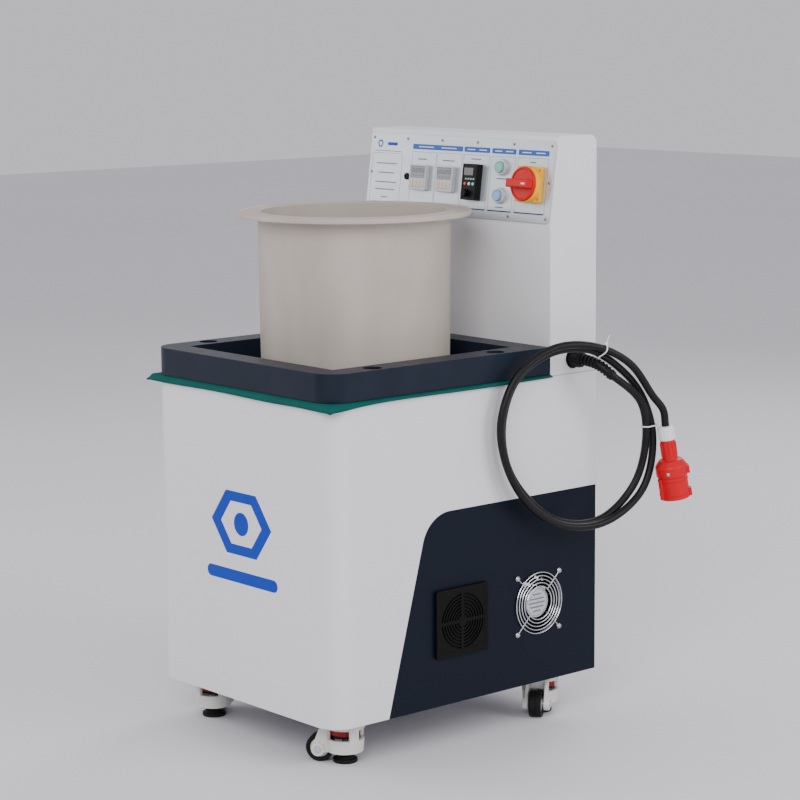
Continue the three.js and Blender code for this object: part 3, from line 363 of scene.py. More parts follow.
def joined(*meshes):
    shape = bmesh.new()
    for mesh in meshes:
        shape.from_mesh(mesh)
        bpy.data.meshes.remove(mesh)
    whole = bpy.data.meshes.new("shape")
    shape.to_mesh(whole)
    shape.free()
    return whole


def combined(mesh, cutters, operation="DIFFERENCE"):
    """The mesh with every cutter taken out of it, or added to it."""
    target = bpy.data.objects.new("target", mesh)
    bpy.context.scene.collection.objects.link(target)
    helpers = []
    for cutter in cutters:
        helper = bpy.data.objects.new("cutter", cutter)
        bpy.context.scene.collection.objects.link(helper)
        helpers.append(helper)
        modifier = target.modifiers.new("cut", "BOOLEAN")
        modifier.operation = operation
        modifier.solver = "EXACT"
        modifier.object = helper
    bpy.context.view_layer.update()
    depsgraph = bpy.context.evaluated_depsgraph_get()
    result = bpy.data.meshes.new_from_object(target.evaluated_get(depsgraph))
    for item in (target, *helpers):
        data = item.data
        bpy.data.objects.remove(item)
        bpy.data.meshes.remove(data)
    return result


def piece(name, mesh, material, body="root", nodes=(), sharp=32):
    """Adds the mesh as one piece with its finish, on its body, in place of its CAD nodes."""
    mesh.name = name
    mesh.materials.clear()
    mesh.materials.append(material)
    for polygon in mesh.polygons:
        polygon.material_index = 0
    mesh.shade_smooth()
    mesh.set_sharp_from_angle(angle=math.radians(sharp))
    made = bpy.data.objects.new(name, mesh)
    bpy.context.scene.collection.objects.link(made)
    normals = made.modifiers.new("flat_faces", "WEIGHTED_NORMAL")
    normals.keep_sharp = True
    normals.weight = 100
    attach(made, body)
    if nodes:
        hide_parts(*nodes)
    return made


def screw(where, radius=3.4, height=2.2):
    """A pan head with a cross recess."""
    head = lathe([(0, 0, 0), (radius, 0, 0), (radius, height, height * 0.75), (0, height, 0)], where, 20)
    lift = where @ Matrix.Translation((0, 0, height * 0.5))
    bars = [plate(rectangle(radius * 1.1, radius * 0.28), height, lift @ Matrix.Rotation(a, 4, "Z")) for a in (0.6, 2.17)]
    return combined(head, bars)


def hex_head(where, across_flats=13, height=7):
    radius = across_flats / math.sqrt(3)
    head = plate(circle(radius, steps=6), height, where, edge=0.6)
    washer = lathe([(0, -1.6, 0), (radius * 1.45, -1.6, 0.4), (radius * 1.45, 0, 0.4), (0, 0, 0)], where, 32)
    return joined(head, washer)


# ---- Camera, light and floor ----


def add_camera():
    azimuth, elevation, roll = math.radians(49.33), math.radians(9.03), math.radians(-0.42)
    back = Vector(
        (
            math.sin(azimuth) * math.cos(elevation),
            -math.cos(azimuth) * math.cos(elevation),
            math.sin(elevation),
        )
    )
    level = Vector(UP).cross(back).normalized()
    upright = back.cross(level)
    right = math.cos(roll) * level + math.sin(roll) * upright
    top = -math.sin(roll) * level + math.cos(roll) * upright
    data = bpy.data.cameras.new("camera")
    data.lens = 109.99
    data.sensor_width = 36
    data.clip_end = 50
    camera = bpy.data.objects.new("camera", data)
    bpy.context.scene.collection.objects.link(camera)
    turned = Matrix((right, top, back)).transposed().to_4x4()
    turned.translation = (3.4107, -2.8642, 1.3033)
    camera.matrix_world = turned
    bpy.context.scene.camera = camera


def add_area_light(name, location, target, size, power, colour=(1, 1, 1)):
    data = bpy.data.lights.new(name, "AREA")
    data.shape = "DISK"
    data.size = size
    data.energy = power
    data.color = colour
    light = bpy.data.objects.new(name, data)
    bpy.context.scene.collection.objects.link(light)
    light.location = location
    aim = Vector(target) - Vector(location)
    light.rotation_euler = aim.to_track_quat("-Z", "Y").to_euler()


def add_lights():
    middle = (0, 0, 0.6)
    add_area_light("key", (2.6, -3.4, 2.9), middle, 2.6, 120)
    add_area_light("left_fill", (-3.4, -2.2, 1.9), middle, 2.4, 45)
    add_area_light("right_fill", (3.6, 1.4, 1.9), middle, 2.2, 60)
    add_area_light("rim", (-1.2, 3.2, 2.8), middle, 2.0, 45)
    world = bpy.data.worlds.new("studio")
    world.use_nodes = True
    background = world.node_tree.nodes["Background"]
    background.inputs["Color"].default_value = (0.88, 0.87, 0.92, 1)
    background.inputs["Strength"].default_value = 0.78
    bpy.context.scene.world = world


def add_floor():
    half = 14
    mesh = bpy.data.meshes.new("floor")
    mesh.from_pydata([(-half, -half, 0), (half, -half, 0), (half, half, 0), (-half, half, 0)], [], [(0, 1, 2, 3)])
    mesh.materials.append(surface("floor", rgb(224, 223, 228), 0.6, grain=(60, 0.02), mottle=(0.6, 0.015)))
    floor = bpy.data.objects.new("floor", mesh)
    bpy.context.scene.collection.objects.link(floor)


add_camera()
add_lights()
add_floor()

# ---- Places of the main pieces ----

shell = node("cabinet_shell")
tower = node("tower_shell")
tray = node("tray_frame")
rubber = node("rubber_mat")
tub = node("tub")
gland = node("cord_gland")
shoulder_z = tower.z0 + SHOULDER
outwards = Vector((0, -math.cos(LEAN), math.sin(LEAN)))
up_slope = Vector((0, math.sin(LEAN), math.cos(LEAN)))
PANEL_FACE = 2.3


def on_panel(u, v, out=PANEL_FACE):
    """The frame on the leaning panel: u across, v up the slope, out of its face."""
    origin = Vector((u, tower.y0, shoulder_z)) + up_slope * v + outwards * out
    return place(origin, (1, 0, 0), up_slope)


# ---- Mains cord ----

# The loops' middle, at the cabinet's middle height of y; the radii and offsets repeat the CAD route.
LOOPS_TURN = math.radians(12)
LOOPS_START = 20
LOOPS_STEP = 30
LOOPS_MIDDLE = Vector((313, 217.5, 551.5))
LOOP_RADII = [
    136, 150, 170, 179, 168, 153, 151, 154, 159, 154, 149, 140, 150,
    168, 186, 183, 173, 162, 159, 166, 170, 165, 157, 155, 161,
]
LOOP_SIDES = [
    16, 6, -4, -7, -7, -7, -7, -7, -7, -6, 1, 8, 4,
    3, 5, 7, 7, 7, 7, 7, 7, 9, 16, 23, 22,
]
TIE_RADIUS = 1.3
LEAVING = SimpleNamespace(straight=6, bend=54, degrees=62, fall=math.radians(54))
PLUG_AT = (180, -3, 22)
PLUG_TILT = math.radians(10)


def loop_point(forward, rise, out):
    """A point in the plane of the loops: along it, up it and out of it."""
    sine, cosine = math.sin(LOOPS_TURN), math.cos(LOOPS_TURN)
    return LOOPS_MIDDLE + Vector((forward * sine + out * cosine, forward * cosine - out * sine, rise))


wall = Vector((shell.x1, (gland.y0 + gland.y1) / 2, (gland.z0 + gland.z1) / 2))
gland_nose = gland.x1 - shell.x1
plug_start = loop_point(*PLUG_AT)
plug_direction = loop_point(math.sin(PLUG_TILT), -math.cos(PLUG_TILT), 0) - loop_point(0, 0, 0)


def bend_points():
    points = []
    for share in (0, 0.5, 1):
        angle = math.radians(LEAVING.degrees) * share
        aside = LEAVING.bend * (1 - math.cos(angle))
        out = gland_nose + LEAVING.straight + LEAVING.bend * math.sin(angle)
        points.append(wall + Vector((out, aside * math.cos(LEAVING.fall), -aside * math.sin(LEAVING.fall))))
    return points


def route_points():
    points = [wall.copy(), wall + Vector((gland_nose - 12, 0, 0)), *bend_points()]
    for i, (radius, side) in enumerate(zip(LOOP_RADII, LOOP_SIDES)):
        angle = math.radians(LOOPS_START - i * LOOPS_STEP)
        points.append(loop_point(radius * math.cos(angle), radius * math.sin(angle), side))
    return points + [plug_start - plug_direction * 30, plug_start - plug_direction * 0.3]


def smooth_line(points, steps=9):
    """The centripetal Catmull-Rom curve through the points."""
    ends = [2 * points[0] - points[1], *points, 2 * points[-1] - points[-2]]
    line = []
    for p0, p1, p2, p3 in zip(ends, ends[1:], ends[2:], ends[3:]):
        d0, d1, d2 = (math.sqrt((b - a).length) for a, b in ((p0, p1), (p1, p2), (p2, p3)))
        t1 = ((p1 - p0) / d0 - (p2 - p0) / (d0 + d1) + (p2 - p1) / d1) * d1
        t2 = ((p2 - p1) / d1 - (p3 - p1) / (d1 + d2) + (p3 - p2) / d2) * d1
        for step in range(steps):
            t = step / steps
            cubic = 2 * p1 - 2 * p2 + t1 + t2
            square = -3 * p1 + 3 * p2 - 2 * t1 - t2
            line.append(p1 + t1 * t + square * t * t + cubic * t * t * t)
    return line + [points[-1]]


def distances(line):
    total = [0.0]
    for a, b in zip(line, line[1:]):
        total.append(total[-1] + (b - a).length)
    return total


cord_line = smooth_line(route_points())
cord_reach = distances(cord_line)


def cord_at(distance):
    """The point of the cord that far along it, and its direction there."""
    i = next(k for k, reach in enumerate(cord_reach) if reach >= distance)
    a, b = cord_line[i - 1], cord_line[i]
    share = (distance - cord_reach[i - 1]) / (cord_reach[i] - cord_reach[i - 1])
    return a.lerp(b, share), (b - a).normalized()


def add_cord_curve():
    start = gland_nose
    points = [cord_at(start)[0]] + [p for p, reach in zip(cord_line, cord_reach) if reach > start + 2]
    curve = bpy.data.curves.new("mains_lead", "CURVE")
    curve.dimensions = "3D"
    curve.bevel_depth = CORD_RADIUS * MM
    curve.bevel_resolution = 6
    curve.use_fill_caps = True
    spline = curve.splines.new("POLY")
    spline.points.add(len(points) - 1)
    for point, at in zip(spline.points, points):
        point.co = (*(at * MM), 1)
    spline.use_smooth = True
    curve.materials.append(RUBBER)
    lead = bpy.data.objects.new("mains_lead", curve)
    bpy.context.scene.collection.objects.link(lead)
    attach(lead, "root")
    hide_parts("mains_cord")
    return lead, points[0] * MM, (cord_reach[-1] - start) * MM


def add_gland():
    hexagon = plate(circle(17, steps=6), GLAND_HEX - 1, along(wall + Vector((0.3, 0, 0)), (1, 0, 0)), edge=0.8)
    washer = rod(18.5, 1.6, along(wall + Vector((0.2, 0, 0)), (1, 0, 0)), 0.5, 48)
    corners = [
        (0, GLAND_HEX - 1, 0), (14.6, GLAND_HEX - 1, 0.6), (14.2, GLAND_HEX + GLAND_DOME - 4, 2),
        (11, GLAND_HEX + GLAND_DOME, 1.5), (0, GLAND_HEX + GLAND_DOME, 0),
    ]
    dome = lathe(corners, along(wall + Vector((0.3, 0, 0)), (1, 0, 0)), 48)
    ribs = []
    for i in range(14):
        angle = 2 * math.pi * i / 14
        middle = wall + Vector((GLAND_HEX + 1, 14 * math.cos(angle), 14 * math.sin(angle)))
        ribs.append(rod(1.3, GLAND_DOME - 6, along(middle, (1, 0, 0)), 0.4, 10))
    thread = rod(12, 13, along(wall - Vector((13, 0, 0)), (1, 0, 0)), 0.5, 40)
    return piece("gland_nut", joined(hexagon, washer, dome, *ribs, thread), BLACK, nodes=["cord_gland"])


def add_relief():
    """The bend protector: a tapering sleeve with a rib every few millimetres."""
    start = gland_nose + 0.3
    rings = []
    core = []
    ribs = 9
    for i in range(ribs * 4 + 1):
        point, direction = cord_at(start + RELIEF_LENGTH * i / (ribs * 4))
        core.append(point)
    rings.append(tube(core, 8.2, sides=4))
    pitch = RELIEF_LENGTH / ribs
    for i in range(ribs):
        point, direction = cord_at(start + pitch * (i + 0.5) - pitch * 0.3)
        radius = 10.8 - 1.0 * i / ribs
        corners = [(7.4, 0, 0), (radius, 0.2, 1.1), (radius, pitch * 0.6, 1.1), (7.4, pitch * 0.62, 0)]
        rings.append(lathe(corners, along(point, direction), 32))
    end_point, end_direction = cord_at(start + RELIEF_LENGTH - 2)
    collar = [(7.05, 0, 0), (9.4, 0, 0.8), (8.9, 6, 1.2), (7.05, 6.5, 0)]
    rings.append(lathe(collar, along(end_point, end_direction), 32))
    return piece("bend_protector", joined(*rings), RUBBER, nodes=["strain_relief"])


def around_strands(first, second, reach, steps=8):
    """A closed outline round two strands, each given by the middle of its round section."""
    heading = math.atan2(second[1] - first[1], second[0] - first[0])
    outline = []
    for middle, start in ((second, -math.pi / 2), (first, math.pi / 2)):
        for i in range(steps + 1):
            angle = heading + start + math.pi * i / steps
            outline.append((middle[0] + reach * math.cos(angle), middle[1] + reach * math.sin(angle)))
    return outline


def tie_loop(angle, strands, tail):
    """A cable tie pulled tight round two strands where they cross a spoke, with its head and tail."""
    spoke = Vector((math.cos(angle), math.sin(angle)))
    reach = CORD_RADIUS + TIE_RADIUS + 0.2
    band = [loop_point(r * spoke.x, r * spoke.y, out) for r, out in around_strands(*strands, reach)]
    radius, side = strands[1]
    corner = loop_point((radius + reach) * spoke.x, (radius + reach) * spoke.y, side)
    outwards = loop_point(spoke.x, spoke.y, 0) - loop_point(0, 0, 0)
    head = plate(rectangle(5, 5, 1), 4, along(corner, outwards), edge=0.5)
    strip = [corner + outwards * 2 + Vector(tail) * (i / 5) + Vector((0.8 * i, 0, 0)) for i in range(6)]
    return joined(tube(band, TIE_RADIUS, closed=True), head, tube(strip, 1.0))


def add_ties():
    upper = tie_loop(math.radians(72), ((146.6, 3.0), (155.9, 17.9)), (2, 3, 16))
    lower = tie_loop(math.radians(-1), ((145.2, 9.7), (161.7, 3.0)), (-3, -6, 5))
    return [
        piece("cable_tie_upper", upper, TIE_WHITE),
        piece("cable_tie_lower", lower, TIE_WHITE),
    ]


PLUG_NUT = 26
PLUG_NECK = 37
PLUG_BODY = 74


def on_plug(distance, aside=0.0, turn=0.0):
    """The frame that far along the plug, its z towards the mouth."""
    base = along(plug_start, plug_direction)
    return base @ Matrix.Rotation(turn, 4, "Z") @ Matrix.Translation((aside, 0, distance))


def add_plug():
    nut_corners = [(0, 0, 0), (12.2, 0, 1.5), (15.2, 4, 1), (15.6, PLUG_NUT - 2, 0.8), (14.2, PLUG_NUT, 0.5), (0, PLUG_NUT, 0)]
    nut = lathe(nut_corners, on_plug(0), 48)
    ribs = [rod(1.15, PLUG_NUT - 8, on_plug(5.5, 15.0, 2 * math.pi * i / 16), 0.5, 8) for i in range(16)]
    white = piece("plug_gland_nut", joined(nut, *ribs), PLUG_WHITE, nodes=["plug_nut"])
    neck = PLUG_NUT + 0.3
    step = neck + PLUG_NECK
    mouth = step + PLUG_BODY
    corners = [
        (0, neck, 0), (13.4, neck, 0.8), (14.6, step, 2), (21, step + 1, 3), (27.2, step + 9, 3),
        (29.4, step + 13, 1.2), (29.4, step + 30, 1.2), (27.2, step + 31.5, 0.8), (27.4, mouth - 1.5, 0.6),
        (27.9, mouth, 0.5), (24.4, mouth, 0.5), (24.2, mouth - 40, 1), (0, mouth - 40, 0),
    ]
    body = lathe(corners, on_plug(0), 72)
    grips = [rod(1.3, PLUG_NECK - 10, on_plug(neck + 5, 13.9, 2 * math.pi * i / 12), 0.6, 8) for i in range(12)]
    facing = Vector((0.65, 0.76, 0))
    local = (along(plug_start, plug_direction).to_3x3().inverted() @ facing).xy
    turn = math.atan2(local.y, local.x)
    lugs = []
    for distance, length, reach, width in ((step + 16, 14, 32.5, 20), (mouth - 15, 15, 31.5, 14)):
        where = on_plug(distance, 0, turn)
        lugs.append(plate(rectangle(reach - 22, width, 1.5, (reach + 22) / 2), length, where, edge=1.0))
    key = plate(rectangle(5, 8, 1, 29, 0), PLUG_BODY - 34, on_plug(step + 32, 0, turn + 2.6), edge=0.8)
    rings = [
        lathe([(27, h, 0), (28.4, h, 0.4), (28.4, h + 1.6, 0.4), (27, h + 1.6, 0)], on_plug(0), 72)
        for h in (step + 38, mouth - 9)
    ]
    red = piece("plug_shell", joined(body, *grips, *lugs, key, *rings), PLUG_RED, nodes=["plug_body"])
    pins = []
    for i in range(5):
        radius = 3 if i else 4
        pins.append(rod(radius, 33, on_plug(mouth - 40, 14.5, 2 * math.pi * i / 5), 1.2, 20))
    screws = [screw(on_plug(step + 22, 0, turn + 1.9) @ Matrix.Rotation(math.pi / 2, 4, "Y") @ Matrix.Translation((0, 0, 28.6)))]
    metal = piece("plug_pins", joined(*pins, *screws), ZINC)
    return [white, red, metal]


def add_cord():
    lead, start, length = add_cord_curve()
    extras = [add_gland(), add_relief(), *add_ties(), *add_plug()]


add_cord()

# ---- Cabinet ----


def cabinet_plan(inset, back):
    """The cabinet's plan: a U with rounded front corners, open at the back."""
    x, front, radius = shell.x1 - inset, shell.y0 + inset, CORNER - inset
    return rounded([(x, back, 0), (-x, back, 0), (-x, front, radius), (x, front, radius)], 20)


def wall_sheet(outline_outer, outline_inner, low, high):
    """A bent sheet between two open outlines of the same number of points."""
    loop = list(outline_outer) + list(reversed(outline_inner))
    return plate(loop, high - low, on_top(0, 0, low))


def add_cabinet():
    outer = cabinet_plan(0, shell.y1)
    inner = cabinet_plan(SHEET, shell.y1)
    start = outer[1:] + outer[:1]
    stop = inner[1:] + inner[:1]
    skin = wall_sheet(start, stop, shell.z0, shell.z1)
    fan, filter_box = node("fan_frame"), node("filter_grille")
    round_hole = rod(57.5, 12, along((shell.x1 - 6, fan.y, fan.z), (1, 0, 0)), 0, 72)
    square_hole = plate(rectangle(100, 100, 3), 12, on_right(shell.x1 - 6, filter_box.y, filter_box.z))
    skin = combined(skin, [round_hole, square_hole])
    flanges = []
    for side in (-1, 1):
        edges = sorted((side * (shell.x1 - SHEET - 15), side * (shell.x1 - 1)))
        flanges.append(block(*edges, shell.y1 - 4.3, shell.y1 - 2.3, shell.z0, shell.z1 - 6.6, 0.3))
    hem = wall_sheet(
        [*cabinet_plan(SHEET - 0.2, shell.y1 - 5)[1:], cabinet_plan(SHEET - 0.2, shell.y1 - 5)[0]],
        [*cabinet_plan(14, shell.y1 - 5)[1:], cabinet_plan(14, shell.y1 - 5)[0]],
        shell.z0,
        shell.z0 + 2,
    )
    piece("cabinet_skin", joined(skin, *flanges, hem), WHITE, nodes=["cabinet_shell"])


def zone_outline(toward):
    """The navy zone, its slanting front edge rounded into its top; toward is 1 or -1 along the row's y."""
    height = shell.z1 - shell.z0
    foot = shell.y0 + ZONE_FOOT
    corner = foot + ZONE_SLANT * ZONE_TOP
    assert ZONE_TOP < height
    corners = [(foot, shell.z0, 0), (shell.y1, shell.z0, 0), (shell.y1, shell.z0 + ZONE_TOP, 0)]
    corners.append((corner, shell.z0 + ZONE_TOP, ZONE_CORNER))
    return [Vector((toward * y, z)) for y, z in rounded(corners, 24)]


def add_navy_zones():
    fan, filter_box = node("fan_frame"), node("filter_grille")
    holes = [circle(57.5, fan.y, fan.z, 72), rectangle(100, 100, 3, filter_box.y, filter_box.z)]
    right = plate(zone_outline(1), 0.35, on_right(shell.x1, 0, 0), holes)
    left = plate(zone_outline(-1), 0.35, on_left(shell.x0, 0, 0))
    piece("navy_zones", joined(right, left), NAVY)


def louvres(columns, rows, pitch, width, height, x_step, z0):
    holes = []
    for column in columns:
        holes += [slot_outline(width, height, column * x_step, z0 + row * pitch) for row in range(rows)]
    return holes


def add_rear_covers():
    low = node("cabinet_rear_cover")
    high = node("tower_rear_cover")
    holes = louvres((-1, 1), 8, 18, 120, 6, 110, shell.z0 + 93)
    cover = plate(rectangle(low.x1 - low.x0, low.z1 - low.z0, 2, 0, low.z), 2, on_back(0, low.y0, 0), holes, 0.3)
    hoods = []
    for column in (-110, 110):
        for row in range(8):
            z = shell.z0 + 93 + row * 18 + 4.4
            hoods.append(tube([(column - 56, low.y1 - 0.9, z), (column + 56, low.y1 - 0.9, z)], 1.0))
    screws = []
    for x in (-250, 250):
        screws += [screw(on_back(x, low.y1 - 0.6, z), 3.2, 0.9) for z in (low.z0 + 20, low.z - 90, low.z + 90, low.z1 - 20)]
        screws += [screw(on_back(x, high.y1 - 0.6, z), 3.2, 0.9) for z in (high.z0 + 20, high.z, high.z1 - 20)]
    piece("rear_cover_sheet", joined(cover, *hoods), WHITE, nodes=["cabinet_rear_cover"])
    upper_holes = louvres((0,), 5, 16, 140, 5, 0, tower.z1 - 157.5)
    upper = plate(rectangle(high.x1 - high.x0, high.z1 - high.z0, 2, 0, high.z), 2, on_back(0, high.y0, 0), upper_holes, 0.3)
    piece("tower_cover_sheet", upper, WHITE, nodes=["tower_rear_cover"])
    piece("rear_screws", joined(*screws), ZINC)


def add_emblem():
    """A plain hexagon ring with a disc, over a plain bar, in place of a mark."""
    centre_x, centre_z = 5, shell.z0 + 326
    front = on_front(centre_x, shell.y0, centre_z)
    hexagon = [Vector((1.32 * p.x, p.y)) for p in circle(66, steps=6)]
    hole = [Vector((1.32 * p.x, p.y)) for p in circle(45, steps=6)]
    ring = plate(hexagon, 0.3, front, [hole])
    disc = plate(circle(21, steps=64), 0.3, front)
    bar = plate(slot_outline(206, 22), 0.3, on_front(centre_x, shell.y0, shell.z0 + 229))
    piece("front_emblem", joined(ring, disc, bar), EMBLEM_BLUE)


add_cabinet()
add_navy_zones()
add_rear_covers()
add_emblem()

# ---- Mat, tray and tub ----


def mat_droop(x, y):
    """How far the mat's edge hangs at a place on its rim."""
    across = (x - rubber.x0) / (rubber.x1 - rubber.x0)
    back = (y - rubber.y0) / (rubber.y1 - rubber.y0)
    wave = 2.2 * math.sin(9.5 * across + 0.8) + 1.6 * math.sin(8 * back + 2.1)
    corner = 6 * math.exp(-((1 - across) ** 2 + back**2) * 60)
    middle = 3.5 * math.exp(-((across - 0.45) ** 2) * 14) * (1 if back < 0.1 else 0)
    taper = 1 - 0.75 * max(0, back - 0.1)
    return max(1.5, (MAT_DROOP - 2 + wave + corner + middle) * taper)


def add_mat():
    """A limp rubber sheet: flat on the deck, its rim hanging over the cabinet's edges in slow waves."""
    columns, rows = 116, 112
    top, thickness = rubber.z1, 3.0
    shape = bmesh.new()
    grid = []
    for j in range(rows + 1):
        y = rubber.y0 + (rubber.y1 - rubber.y0) * j / rows
        line = []
        for i in range(columns + 1):
            x = rubber.x0 + (rubber.x1 - rubber.x0) * i / columns
            beyond = Vector((max(0, abs(x) - shell.x1 + 1.5), max(0, shell.y0 + 1.5 - y)))
            share = min(1.0, beyond.length / 10.5)
            reach = 1 - 0.16 * share * share
            z = top - mat_droop(x, y) * share**1.4
            pulled_x = x if abs(x) < shell.x1 else math.copysign(shell.x1 + (abs(x) - shell.x1) * reach, x)
            pulled_y = y if y > shell.y0 else shell.y0 + (y - shell.y0) * reach
            line.append(shape.verts.new((pulled_x, pulled_y, z)))
        grid.append(line)
    for j in range(rows):
        for i in range(columns):
            shape.faces.new((grid[j][i], grid[j][i + 1], grid[j + 1][i + 1], grid[j + 1][i]))
    mesh = cleaned(shape, Matrix.Scale(MM, 4))
    made = piece("green_mat", mesh, GREEN, nodes=["rubber_mat"], sharp=60)
    made.modifiers.clear()
    solid = made.modifiers.new("thickness", "SOLIDIFY")
    solid.thickness = thickness * MM
    solid.offset = -1


def add_tray():
    outer = rounded(
        [(tray.x0, tray.y0, CORNER), (tray.x1, tray.y0, CORNER), (tray.x1, tray.y1, 1), (tray.x0, tray.y1, 1)], 20
    )
    pocket = rectangle(415, 414, 1.5, 0, tray.y0 + 256.5)
    body = plate(outer, tray.z1 - tray.z0, on_top(0, 0, tray.z0), [pocket], edge=0.9, steps=3)
    middle_y = tray.y0 + 256.5
    places = [(x, middle_y + y) for x in (-236, 236) for y in (-143.5, 143.5)]
    recesses = [rod(17, 40, on_top(x, y, tray.z1 - 32), 0.6, 48) for x, y in places]
    body = combined(body, recesses)
    piece("tray_block", body, TRAY_NAVY, nodes=["tray_frame"])
    bolts = [hex_head(on_top(x, y, tray.z1 - 30.2)) for x, y in places]
    piece("tray_bolts", joined(*bolts), ZINC)


def add_tub():
    low, top = tub.z0, tub.z1
    corners = [
        (0, low + 3, 0), (150, low + 3, 2), (152, low, 1.5), (172.5, low, 10), (175, top - 14, 0),
        (176.5, top - 9, 3), (213.5, top - 9, 2), (213.5, top, 2.2), (206, top, 0.8), (205, top - 1.2, 0.8),
        (173.5, top - 1.2, 0.8), (173, top, 0.9), (170, top, 1.2), (167.5, low + 18, 0), (165, low + 8, 10), (0, low + 8, 0),
    ]
    mesh = lathe(corners, on_top(tub.x, tub.y, 0), 160, 5)
    piece("tub_shell", mesh, TUB_GREY, "tub", ["tub"], sharp=40)


add_mat()
add_tray()
add_tub()

# ---- Tower ----


def tower_profile(inset, back, bottom):
    top = tower.z1 - inset
    front = tower.y0 + inset
    radius = TOWER_REAR - inset
    lean_top = front + (top - shoulder_z) * math.tan(LEAN)
    corners = [(front, bottom, 0), (back, bottom, 0), (back, top, radius), (lean_top, top, 3 if inset < 1 else 1)]
    return rounded([*corners, (front, shoulder_z, 30)], 10)


def add_tower():
    edge = 2.2
    outer = plate(tower_profile(0, tower.y1, tower.z0), tower.x1 - tower.x0, on_right(tower.x0, 0, 0), edge=edge, steps=4)
    width = tower.x1 - tower.x0 - 2 * SHEET
    hollow = plate(tower_profile(SHEET, tower.y1 - SHEET, tower.z0 - 6), width, on_right(tower.x0 + SHEET, 0, 0))
    rear_edge = tower.z1 - TOWER_REAR
    open_back = block(tower.x0 + SHEET, tower.x1 - SHEET, tower.y1 - 8, tower.y1 + 6, tower.z0 - 6, rear_edge, 0.2)
    window = plate(rectangle(479, 117, 3, 0, 75), 30, on_panel(0, 0, -20))
    bore = rod(12.4, 12, along((tower.x1 - 8, wall.y, wall.z), (1, 0, 0)), 0, 40)
    skin = combined(outer, [hollow, open_back, window, bore])
    flanges = []
    for side in (-1, 1):
        edges = sorted((side * (tower.x1 - SHEET - 15), side * (tower.x1 - 1)))
        flanges.append(block(*edges, tower.y1 - 4.3, tower.y1 - 2.3, tower.z0, rear_edge, 0.3))
    piece("tower_skin", joined(skin, *flanges), WHITE, nodes=["tower_shell"])


PANEL_WIDTH = 511
PANEL_LOW, PANEL_HIGH = 1, 150


def add_panel_plate():
    middle = (PANEL_LOW + PANEL_HIGH) / 2
    outline = rectangle(PANEL_WIDTH, PANEL_HIGH - PANEL_LOW, 10, 0, middle)
    holes = [rectangle(45, 45, 0.5, u, 69) for u in (-102, -27)]
    holes += [circle(13.3, 122, 98), circle(13.3, 122, 46), circle(5.3, 202, 70)]
    plate_mesh = plate(outline, 2, on_panel(0, 0, 0.3), holes, 0.4)
    piece("panel_plate", plate_mesh, ALUMINIUM, nodes=["control_panel"])
    columns = (-247, -148.2, -49.4, 49.4, 148.2, 247)
    heads = [screw(on_panel(u, v), 2.7, 1.5) for u in columns for v in (9.5, 141.5)]
    heads += [screw(on_panel(u, 74.5), 2.7, 1.5) for u in (-248, 248)]
    piece("panel_screws", joined(*heads), STEEL)


def line_box(u0, u1, v0, v1, line=0.7):
    """A thin printed frame."""
    outer = rectangle(u1 - u0, v1 - v0, 1.5, (u0 + u1) / 2, (v0 + v1) / 2)
    inner = rectangle(u1 - u0 - 2 * line, v1 - v0 - 2 * line, 1, (u0 + u1) / 2, (v0 + v1) / 2)
    return plate(outer, 0.12, on_panel(0, 0), [inner])


def print_bar(u, v, width, height):
    return plate(slot_outline(width, height, u, v), 0.14, on_panel(0, 0))


def add_panel_print():
    header_spans = ((-132, 10.4), (14.3, 85), (90.5, 155.2), (161.5, 241.6))
    headers = [
        plate(rectangle(b - a, 9.8, 2, (a + b) / 2, 127.4), 0.2, on_panel(0, 0)) for a, b in header_spans
    ]
    piece("panel_headers", joined(*headers), PRINT_BLUE)
    pale = [print_bar((a + b) / 2 + s * (b - a) / 4.4, 127.4, (b - a) * 0.3, 1.8) for a, b in header_spans for s in (-1, 1)]
    for mesh in pale:
        mesh.transform(Matrix.Translation(outwards * 0.2 * MM))
    piece("panel_header_dashes", joined(*pale), KEY_WHITE)
    spans = ((-132, -62), (-60, 10.4), (14.3, 85), (90.5, 155.2), (161.5, 241.6))
    frames = [line_box(a, b, 17, 118) for a, b in spans] + [line_box(-249, -160, 18, 112)]
    captions = [(-102, 104, 26), (-27, 104, 34), (49, 110, 28), (122, 77, 26), (122, 24.5, 22), (202, 110, 16)]
    frames += [print_bar(u, v, width, 2.4) for u, v, width in captions]
    frames += [print_bar(-204.5, v, w, 2.2) for v, w in ((92, 60), (74, 48), (56, 64), (42, 58), (27, 20))]
    frames.append(print_bar(-204.5, 116, 78, 1.4))
    piece("panel_lines", joined(*frames), PRINT_GREY)
    feet = [print_bar((a + b) / 2, 17.4, b - a - 2, 2.4) for a, b in spans]
    piece("panel_underlines", joined(*feet), PRINT_DARK)
    small_mark = plate(circle(8, -228, 130, 6), 0.2, on_panel(0, 0), [circle(5, -228, 130, 6)])
    small_bar = print_bar(-192, 130, 30, 6)
    piece("panel_emblem", joined(small_mark, small_bar), EMBLEM_BLUE)


